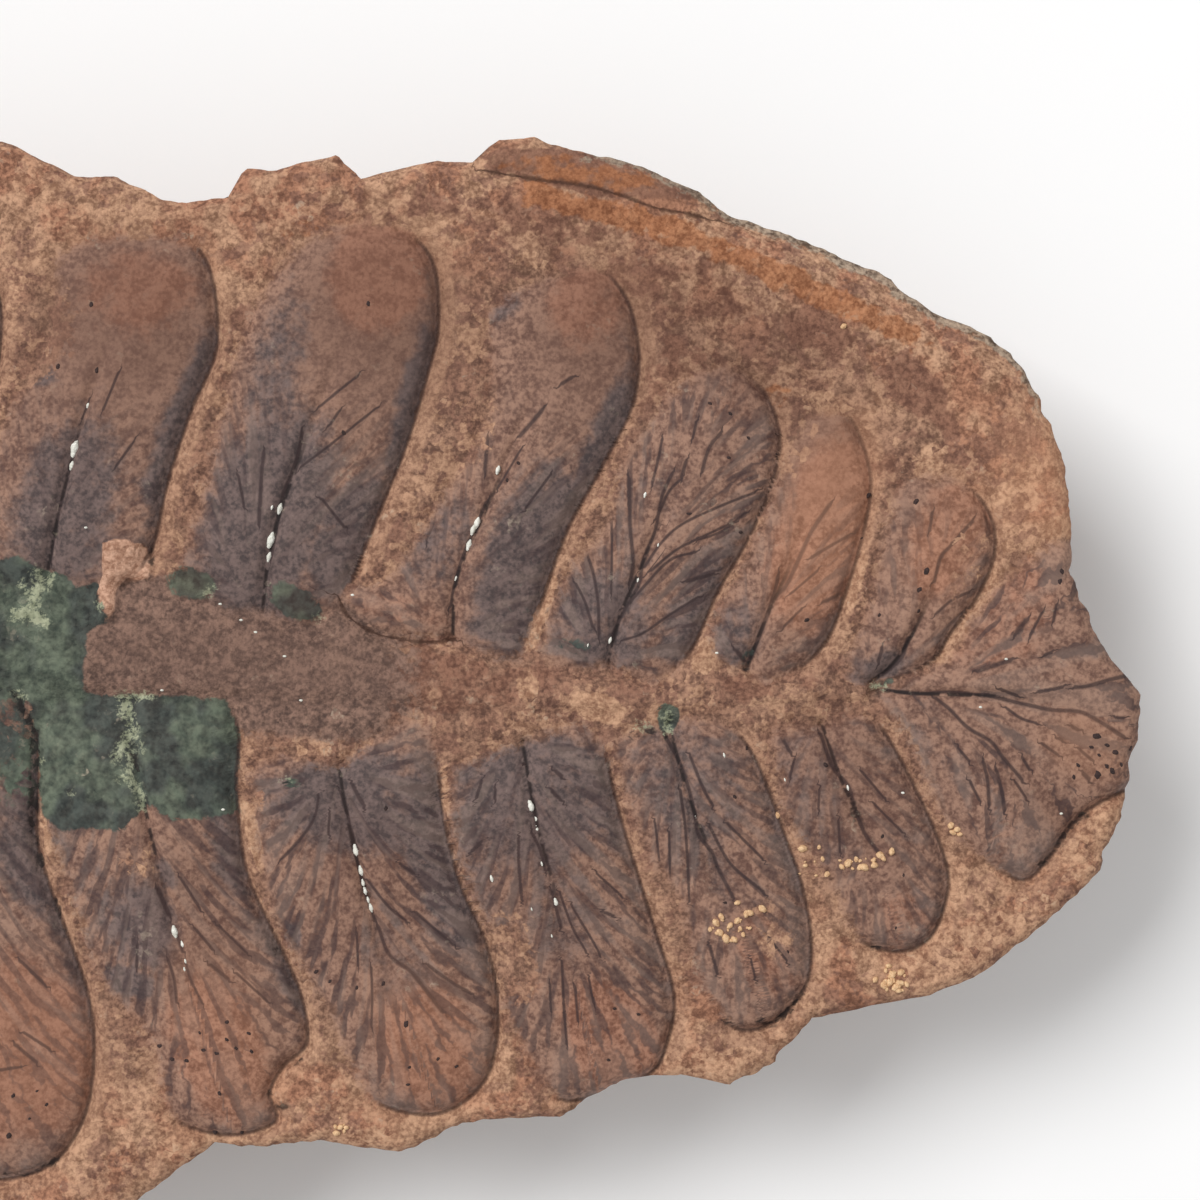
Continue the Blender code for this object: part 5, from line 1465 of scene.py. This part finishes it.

# %% Green and pale mineral, painted shade in creases, gaps and the crack, and the rim
green_mask = ragged(green, broad_a, coarse_tone, 0.4)
green_tone = calc(tree, "MULTIPLY_ADD", coarse_tone, 0.3, calc(tree, "MULTIPLY", small_tone, 0.2))
green_tone = calc(tree, "MULTIPLY_ADD", step(tree, fine_c, 0.35, 0.65), 0.5, green_tone)
green_colour = blend(tree, step(tree, broad_b, 0.42, 0.58), tones(green_tone, (24, 29, 30), (82, 90, 84)),
                     tones(green_tone, (40, 50, 46), (114, 124, 106)))
face_colour = blend(tree, calc(tree, "MULTIPLY", green_mask, 0.95), face_colour, green_colour)
pale_edge = calc(tree, "SUBTRACT", pale, calc(tree, "MULTIPLY", calc(tree, "SUBTRACT", small_tone, 0.5), 0.5))
pale_share = calc(tree, "MULTIPLY", step(tree, pale_edge, 0.2, -0.15), on_face)
face_colour = blend(tree, calc(tree, "MULTIPLY", pale_share, 0.8), face_colour,
                    tones(green_tone, (118, 124, 98), (196, 198, 166)))
# Painted shade: a dark line along the creases of the margins that face away from the light.
crease_shade_line = step(tree, calc(tree, "ABSOLUTE", depth), 0.17, 0.02)
crease_painted_shade = calc(tree, "MULTIPLY", crease_shade_line, step(tree, crisp, 0.45, 0.95))
face_colour = blend(tree, calc(tree, "MULTIPLY", crease_painted_shade, 0.7), face_colour, paint(56, 40, 37))
# Painted shade: black in the gaps below some margins, where the leaflets' edges throw shadow.
gap_shade_fraying = calc(tree, "MULTIPLY", calc(tree, "SUBTRACT", coarse_tone, 0.5), 0.4)
gap_shade_edge = calc(tree, "SUBTRACT", crevice, gap_shade_fraying)
gap_painted_shade = calc(tree, "MULTIPLY", step(tree, gap_shade_edge, 0.12, -0.12), on_face)
face_colour = blend(tree, calc(tree, "MULTIPLY", gap_painted_shade, 0.85), face_colour, paint(30, 24, 24))
crust_share = calc(tree, "MULTIPLY", step(tree, rim_gap, 0.75, 0.1), broad_rim)
crust_mask = ragged(crust_share, broad_a, coarse_tone, 0.8, 0.2)
face_colour = blend(tree, calc(tree, "MULTIPLY", crust_mask, 0.75), face_colour,
                    tones(stone_tone, (70, 60, 50), (182, 166, 146)))
# Painted shade: a dark line along the crack, where its step lies in shadow.
crack_width = calc(tree, "MULTIPLY_ADD", step(tree, fine_c, 0.35, 0.7), 0.24, 0.05)
crack_shade_line = calc(tree, "SUBTRACT", 1.0, step(tree, calc(tree, "ABSOLUTE", crack_gap), 0.02, crack_width))
crack_painted_shade = calc(tree, "MULTIPLY", crack_shade_line, on_face)
face_colour = blend(tree, calc(tree, "MULTIPLY", crack_painted_shade, 0.75), face_colour, paint(58, 36, 27))
face_colour = blend(tree, calc(tree, "MULTIPLY", darker, 0.3), face_colour, paint(74, 42, 32))
face_colour = blend(tree, calc(tree, "MULTIPLY", lighter, 0.3), face_colour, paint(198, 142, 108))

# %% The crust of the back, and the shader
crust_tone = calc(tree, "ADD", calc(tree, "MULTIPLY", step(tree, broad_b, 0.35, 0.65), 0.5),
                  calc(tree, "MULTIPLY", coarse_tone, 0.5))
back_colour = blend(tree, step(tree, broad_c, 0.45, 0.62), tones(crust_tone, (98, 76, 60), (150, 114, 86)),
                    tones(crust_tone, (126, 84, 56), (176, 124, 86)))
face_share = step(tree, on_face, 0.35, 0.65)
whole_colour = blend(tree, face_share, back_colour, face_colour)
leaf_share = calc(tree, "MULTIPLY", step(tree, depth, 0.0, 0.3), calc(tree, "SUBTRACT", 1.0, worn))
grain_rise = calc(tree, "MULTIPLY_ADD", leaf_share, -0.045, 0.07)
bump = add_node(tree, "ShaderNodeBump", {
    "Height": calc(tree, "MULTIPLY", coarse_height, calc(tree, "MULTIPLY", grain_rise, MM)),
    "Distance": 1.0, "Strength": 1.0})
roughness = calc(tree, "SUBTRACT", 0.88, calc(tree, "MULTIPLY", leaf_mask, 0.1))
tree.links.new(whole_colour, shader.inputs["Base Color"])
tree.links.new(roughness, shader.inputs["Roughness"])
tree.links.new(bump.outputs[0], shader.inputs["Normal"])
shader.inputs["Specular IOR Level"].default_value = 0.25
stone_mesh.materials.append(ironstone)
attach(stone, "root")
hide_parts("fossil_nodule")
print("ironstone:", len(tree.nodes), "nodes")

# %% [markdown]
# ## Beads and crumbs
#
# White mineral fills some of the ribs as small beads, dark grains sit in round pits, and ochre crumbs
# stick to a few leaflets. They are many small, irregular grains, which is work for Geometry Nodes: a
# cloud of points in, a dented icosphere on each point, turned and sized at random from a fixed seed, and
# real mesh out. Only the points, sizes and material differ, so one tree makes all three.

# %% The tree that puts a grain on every point


def grain_tree():
    """Return a node tree that puts a dented grain on every point of its mesh."""
    group = bpy.data.node_groups.new("Grains On Points", "GeometryNodeTree")
    face = group.interface
    face.new_socket("Geometry", in_out="INPUT", socket_type="NodeSocketGeometry")
    face.new_socket("Grain Radius", in_out="INPUT", socket_type="NodeSocketFloat")
    face.new_socket("Length Ratio", in_out="INPUT", socket_type="NodeSocketFloat")
    face.new_socket("Dent", in_out="INPUT", socket_type="NodeSocketFloat")
    face.new_socket("Seed", in_out="INPUT", socket_type="NodeSocketInt")
    face.new_socket("Material", in_out="INPUT", socket_type="NodeSocketMaterial")
    face.new_socket("Geometry", in_out="OUTPUT", socket_type="NodeSocketGeometry")
    start = group.nodes.new("NodeGroupInput")
    end = group.nodes.new("NodeGroupOutput")
    ball = add_node(group, "GeometryNodeMeshIcoSphere", {"Radius": 1.0, "Subdivisions": 2})
    dents = add_node(group, "ShaderNodeTexNoise", {"Scale": 1.3, "Detail": 2.0})
    push = add_node(group, "ShaderNodeVectorMath", {
        0: dents.outputs["Color"], 1: (0.5, 0.5, 0.5)}, operation="SUBTRACT")
    pushed = add_node(group, "ShaderNodeVectorMath", {
        0: push.outputs[0], "Scale": start.outputs["Dent"]}, operation="SCALE")
    dented = add_node(group, "GeometryNodeSetPosition", {
        "Geometry": ball.outputs["Mesh"], "Offset": pushed.outputs[0]})
    size = add_node(group, "GeometryNodeInputNamedAttribute", {"Name": "size"}, data_type="FLOAT")
    heading = add_node(group, "GeometryNodeInputNamedAttribute", {"Name": "heading"}, data_type="FLOAT")
    radius = add_node(group, "ShaderNodeMath", {
        0: size.outputs[0], 1: start.outputs["Grain Radius"]}, operation="MULTIPLY").outputs[0]
    length = add_node(group, "ShaderNodeMath", {
        0: radius, 1: start.outputs["Length Ratio"]}, operation="MULTIPLY").outputs[0]
    tilt = add_node(group, "FunctionNodeRandomValue", {
        2: -0.4, 3: 0.4, "Seed": start.outputs["Seed"]}, data_type="FLOAT").outputs[1]
    scale = add_node(group, "ShaderNodeCombineXYZ", {0: length, 1: radius, 2: radius}).outputs[0]
    turn = add_node(group, "ShaderNodeCombineXYZ", {0: tilt, 1: tilt, 2: heading.outputs[0]}).outputs[0]
    placed = add_node(group, "GeometryNodeInstanceOnPoints", {
        "Points": start.outputs["Geometry"], "Instance": dented.outputs[0], "Rotation": turn, "Scale": scale})
    solid = add_node(group, "GeometryNodeRealizeInstances", {0: placed.outputs[0]})
    smooth = add_node(group, "GeometryNodeSetShadeSmooth", {0: solid.outputs[0]})
    coated = add_node(group, "GeometryNodeSetMaterial", {
        "Geometry": smooth.outputs[0], "Material": start.outputs["Material"]})
    group.links.new(coated.outputs[0], end.inputs[0])
    return group


def put_grains(name, points, sizes, headings, settings, sink=0.0):
    """Make one piece of grains on the face, each sunk by a share of its size."""
    spots = np.array(points)
    z = face_height(spots, leaf_fields(spots)) - sink * np.array(sizes)
    cloud = bpy.data.meshes.new(name + "_points")
    cloud.from_pydata((np.column_stack([spots, z]) * MM).tolist(), [], [])
    for label, values in (("size", sizes), ("heading", headings)):
        cloud.attributes.new(label, "FLOAT", "POINT").data.foreach_set("value", np.array(values, dtype=float))
    holder = bpy.data.objects.new(name + "_points", cloud)
    bpy.context.scene.collection.objects.link(holder)
    modifier = holder.modifiers.new("Grains", "NODES")
    modifier.node_group = grains
    for item in grains.interface.items_tree:
        if item.in_out == "INPUT" and item.name in settings:
            modifier[item.identifier] = settings[item.name]
    bpy.context.view_layer.update()
    mesh = bpy.data.meshes.new_from_object(holder.evaluated_get(bpy.context.evaluated_depsgraph_get()))
    bpy.data.objects.remove(holder, do_unlink=True)
    mesh.name = name
    piece = bpy.data.objects.new(name, mesh)
    bpy.context.scene.collection.objects.link(piece)
    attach(piece, "root")
    print(name + ":", len(spots), "grains,", len(mesh.polygons), "faces")


grains = grain_tree()

# %% Mineral beads in the ribs
BEADS = [
    (1.35, 12.55, 1.5), (1.2, 11.7, 0.8), (2.0, 14.7, 0.5), (11.1, 8.0, 1.4), (11.0, 7.15, 0.9),
    (11.55, 9.55, 1.0), (11.2, 9.6, 0.4), (21.35, 8.85, 1.1), (21.15, 8.5, 0.9), (20.95, 7.75, 1.0),
    (20.3, 6.1, 0.5), (28.0, 3.0, 0.6), (26.9, 2.75, 0.3), (29.4, 6.0, 0.4), (30.4, 7.75, 0.3),
    (29.75, 10.25, 0.5), (15.35, -7.5, 1.1), (15.6, -8.5, 0.9), (15.7, -9.1, 0.7), (15.8, -9.5, 0.7),
    (15.95, -9.95, 0.6), (16.1, -10.35, 0.8), (24.05, -5.3, 1.1), (24.3, -5.9, 0.7), (24.35, -6.4, 0.6),
    (24.6, -8.15, 0.4), (22.1, -8.9, 0.6), (24.1, -10.4, 0.3), (25.3, -10.1, 0.8), (25.1, -11.75, 0.3),
    (6.3, -11.55, 1.1), (6.7, -12.15, 0.6), (6.85, -13.0, 0.4), (6.8, -13.4, 0.4), (32.25, -5.85, 0.5),
    (33.7, -2.75, 0.4), (39.9, -4.4, 0.5), (36.75, -4.0, 0.3), (22.4, 11.5, 0.8),
]
WHITE_SPECKS = [
    (1.95, 8.6), (15.15, 5.25), (9.6, 4.0), (8.55, 4.8), (10.35, 3.4), (11.8, 2.2), (12.6, 0.0), (5.65, 0.5),
    (8.7, -5.45), (42.65, -4.65), (33.35, 2.35), (47.8, 2.05), (46.5, -0.35), (50.6, -5.7),
]
SPECK_SIZE = 0.4
BEAD_HEADING = 1.3
BEAD_TRIPLET = ((-0.16, 0.7), (0.0, 1.0), (0.15, 0.6))
GRAIN_BUMP = 0.03


def grain_material(name, dark, light, size, roughness):
    """Return a material for small grains, from the same grain group as the stone."""
    material = bpy.data.materials.new(name)
    material.use_nodes = True
    nodes = material.node_tree
    place = add_node(nodes, "ShaderNodeTexCoord")
    in_mm = add_node(nodes, "ShaderNodeVectorMath", {0: place.outputs["Object"], "Scale": 1.0 / MM},
                     operation="SCALE").outputs[0]
    tone, rise = use_group(nodes, grain_group, {"Point": in_mm, "Grain Size": size, "Softness": 0.6}).outputs
    coat = nodes.nodes["Principled BSDF"]
    bumpy = add_node(nodes, "ShaderNodeBump",
                     {"Height": calc(nodes, "MULTIPLY", rise, GRAIN_BUMP * MM), "Distance": 1.0})
    nodes.links.new(blend(nodes, tone, dark, light), coat.inputs["Base Color"])
    nodes.links.new(bumpy.outputs[0], coat.inputs["Normal"])
    coat.inputs["Roughness"].default_value = roughness
    return material


bead_spots = []
bead_sizes = []
bead_headings = []
for x, y, size in BEADS:
    heading = BEAD_HEADING if y > 0.0 else -BEAD_HEADING
    for along_rib, share in BEAD_TRIPLET:
        shift = along_rib * size
        bead_spots.append((x + shift * math.cos(heading), y + shift * math.sin(heading)))
        bead_sizes.append(size * share)
        bead_headings.append(heading)
bead_spots.extend(WHITE_SPECKS)
bead_sizes.extend([SPECK_SIZE] * len(WHITE_SPECKS))
bead_headings.extend([0.0] * len(WHITE_SPECKS))
white_mineral = grain_material("white_mineral", paint(206, 204, 190), paint(250, 249, 240), 0.2, 0.45)
bead_settings = {"Grain Radius": 0.16 * MM, "Length Ratio": 1.5, "Dent": 0.7, "Seed": 4,
                 "Material": white_mineral}
put_grains("mineral_beads", bead_spots, bead_sizes, bead_headings, bead_settings)

# %% Dark grains in the round pits
DARK_SINK = 0.65
dark_spots = [line[0] for _, line in dots]
dark_sizes = [half_width for half_width, _ in dots]
dark_headings = [3.0 * number for number in range(len(dots))]
dark_settings = {"Grain Radius": MM, "Length Ratio": 1.35, "Dent": 0.9, "Seed": 6,
                 "Material": grain_material("dark_mineral", paint(36, 26, 26), paint(72, 52, 48), 0.1, 0.9)}
put_grains("dark_specks", dark_spots, dark_sizes, dark_headings, dark_settings, DARK_SINK)

# %% Ochre crumbs in clusters
CRUMBS = [
    (33.0, -11.45), (33.3, -11.1), (33.55, -10.8), (33.5, -11.6), (33.8, -11.9), (34.2, -11.95),
    (34.35, -11.0),
    (34.5, -11.4), (34.35, -10.1), (34.8, -10.65), (34.95, -10.6), (35.6, -10.4), (34.0, -11.25),
    (34.65, -11.7),
    (39.6, -8.35), (39.9, -8.15), (40.3, -7.95), (40.5, -8.35), (40.7, -8.35), (41.15, -8.0), (41.2, -8.25),
    (41.5, -7.75), (41.65, -7.9), (42.05, -7.55), (37.65, -7.45), (37.5, -8.75), (38.9, -8.75), (36.45, -5.8),
    (45.1, -6.3), (45.4, -6.5), (45.55, -6.75), (45.2, -6.65), (14.5, -21.4), (14.3, -21.7), (39.7, 18.7),
]
CRUMB_CLUSTERS = [
    (34.2, -11.4, 0.8, 0.4, 12, 0.5), (40.8, -8.1, 1.0, 0.2, 10, 0.5), (42.3, -14.1, 0.7, 0.45, 30, 0.9),
    (38.1, -8.2, 0.8, 0.6, 6, 0.6), (14.5, -21.4, 0.3, 0.5, 6, 0.6),
]
CLUSTER_SPREAD = 0.6
chance = np.random.RandomState(7)
crumb_spots = list(CRUMBS)
crumb_sizes = list(chance.uniform(0.7, 1.35, len(CRUMBS)))
for x, y, wide, tall, count, size in CRUMB_CLUSTERS:
    off_x = wide * CLUSTER_SPREAD * chance.randn(count)
    off_y = tall * CLUSTER_SPREAD * chance.randn(count)
    crumb_spots.extend(zip(x + off_x, y + off_y))
    crumb_sizes.extend(size * chance.uniform(0.5, 1.3, count))
crumb_headings = chance.uniform(0.0, 2.0 * math.pi, len(crumb_spots))
ochre = grain_material("ochre_crumb", paint(196, 150, 108), paint(240, 204, 160), 0.15, 0.85)
crumb_settings = {"Grain Radius": 0.15 * MM, "Length Ratio": 1.25, "Dent": 0.9, "Seed": 9,
                  "Material": ochre}
put_grains("ochre_crumbs", crumb_spots, crumb_sizes, crumb_headings, crumb_settings)

# %% [markdown]
# ## Floor, light and camera
#
# The stone lies on a plain pale floor. The relief is less than a millimetre high, so it only shows in
# light that comes from the side: one large soft light stands at the upper left, and the pale world fills
# the shadows. The camera looks straight down on the near half, as the photograph does.

# %% Floor
FLOOR_SIZE = 3.0
floor_mesh = bpy.data.meshes.new("studio_floor")
half_floor = FLOOR_SIZE / 2
floor_mesh.from_pydata([(-half_floor, -half_floor, 0.0), (half_floor, -half_floor, 0.0),
                        (half_floor, half_floor, 0.0), (-half_floor, half_floor, 0.0)], [], [(0, 1, 2, 3)])
floor = bpy.data.objects.new("studio_floor", floor_mesh)
bpy.context.scene.collection.objects.link(floor)
floor_paint = bpy.data.materials.new("floor_paint")
floor_paint.use_nodes = True
floor_paint.node_tree.nodes["Principled BSDF"].inputs["Base Color"].default_value = (0.95, 0.95, 0.95, 1.0)
floor_paint.node_tree.nodes["Principled BSDF"].inputs["Roughness"].default_value = 0.9
floor_mesh.materials.append(floor_paint)

# %% Light
LIGHT_DISTANCE = 3.0
LIGHT_SIZE = 1.4
LIGHT_POWER = 64.0
LIGHT_FROM = Vector((-0.6, 0.45, 0.9))
WORLD_STRENGTH = 0.56
view_middle = Vector((27.5, 5.0, FACE_HEIGHT)) * MM
lamp = bpy.data.lights.new("key_light", "AREA")
lamp.size = LIGHT_SIZE
lamp.energy = LIGHT_POWER
key = bpy.data.objects.new("key_light", lamp)
key.location = view_middle + LIGHT_FROM.normalized() * LIGHT_DISTANCE
key.rotation_euler = (view_middle - key.location).to_track_quat("-Z", "Y").to_euler()
bpy.context.scene.collection.objects.link(key)
world = bpy.data.worlds.new("studio")
world.use_nodes = True
world.node_tree.nodes["Background"].inputs["Color"].default_value = (1.0, 1.0, 1.0, 1.0)
world.node_tree.nodes["Background"].inputs["Strength"].default_value = WORLD_STRENGTH
bpy.context.scene.world = world
bpy.context.scene.view_settings.view_transform = "Standard"

# %% Camera
VIEW_WIDTH = 60.0
LENS = 80.0
SENSOR = 36.0
lens_data = bpy.data.cameras.new("camera")
lens_data.lens = LENS
lens_data.sensor_width = SENSOR
lens_data.clip_start = 0.001
camera = bpy.data.objects.new("camera", lens_data)
camera.location = view_middle + Vector((0.0, 0.0, VIEW_WIDTH * MM * LENS / SENSOR))
bpy.context.scene.collection.objects.link(camera)
bpy.context.scene.camera = camera
print("camera height, mm:", round(camera.location.z / MM, 1))
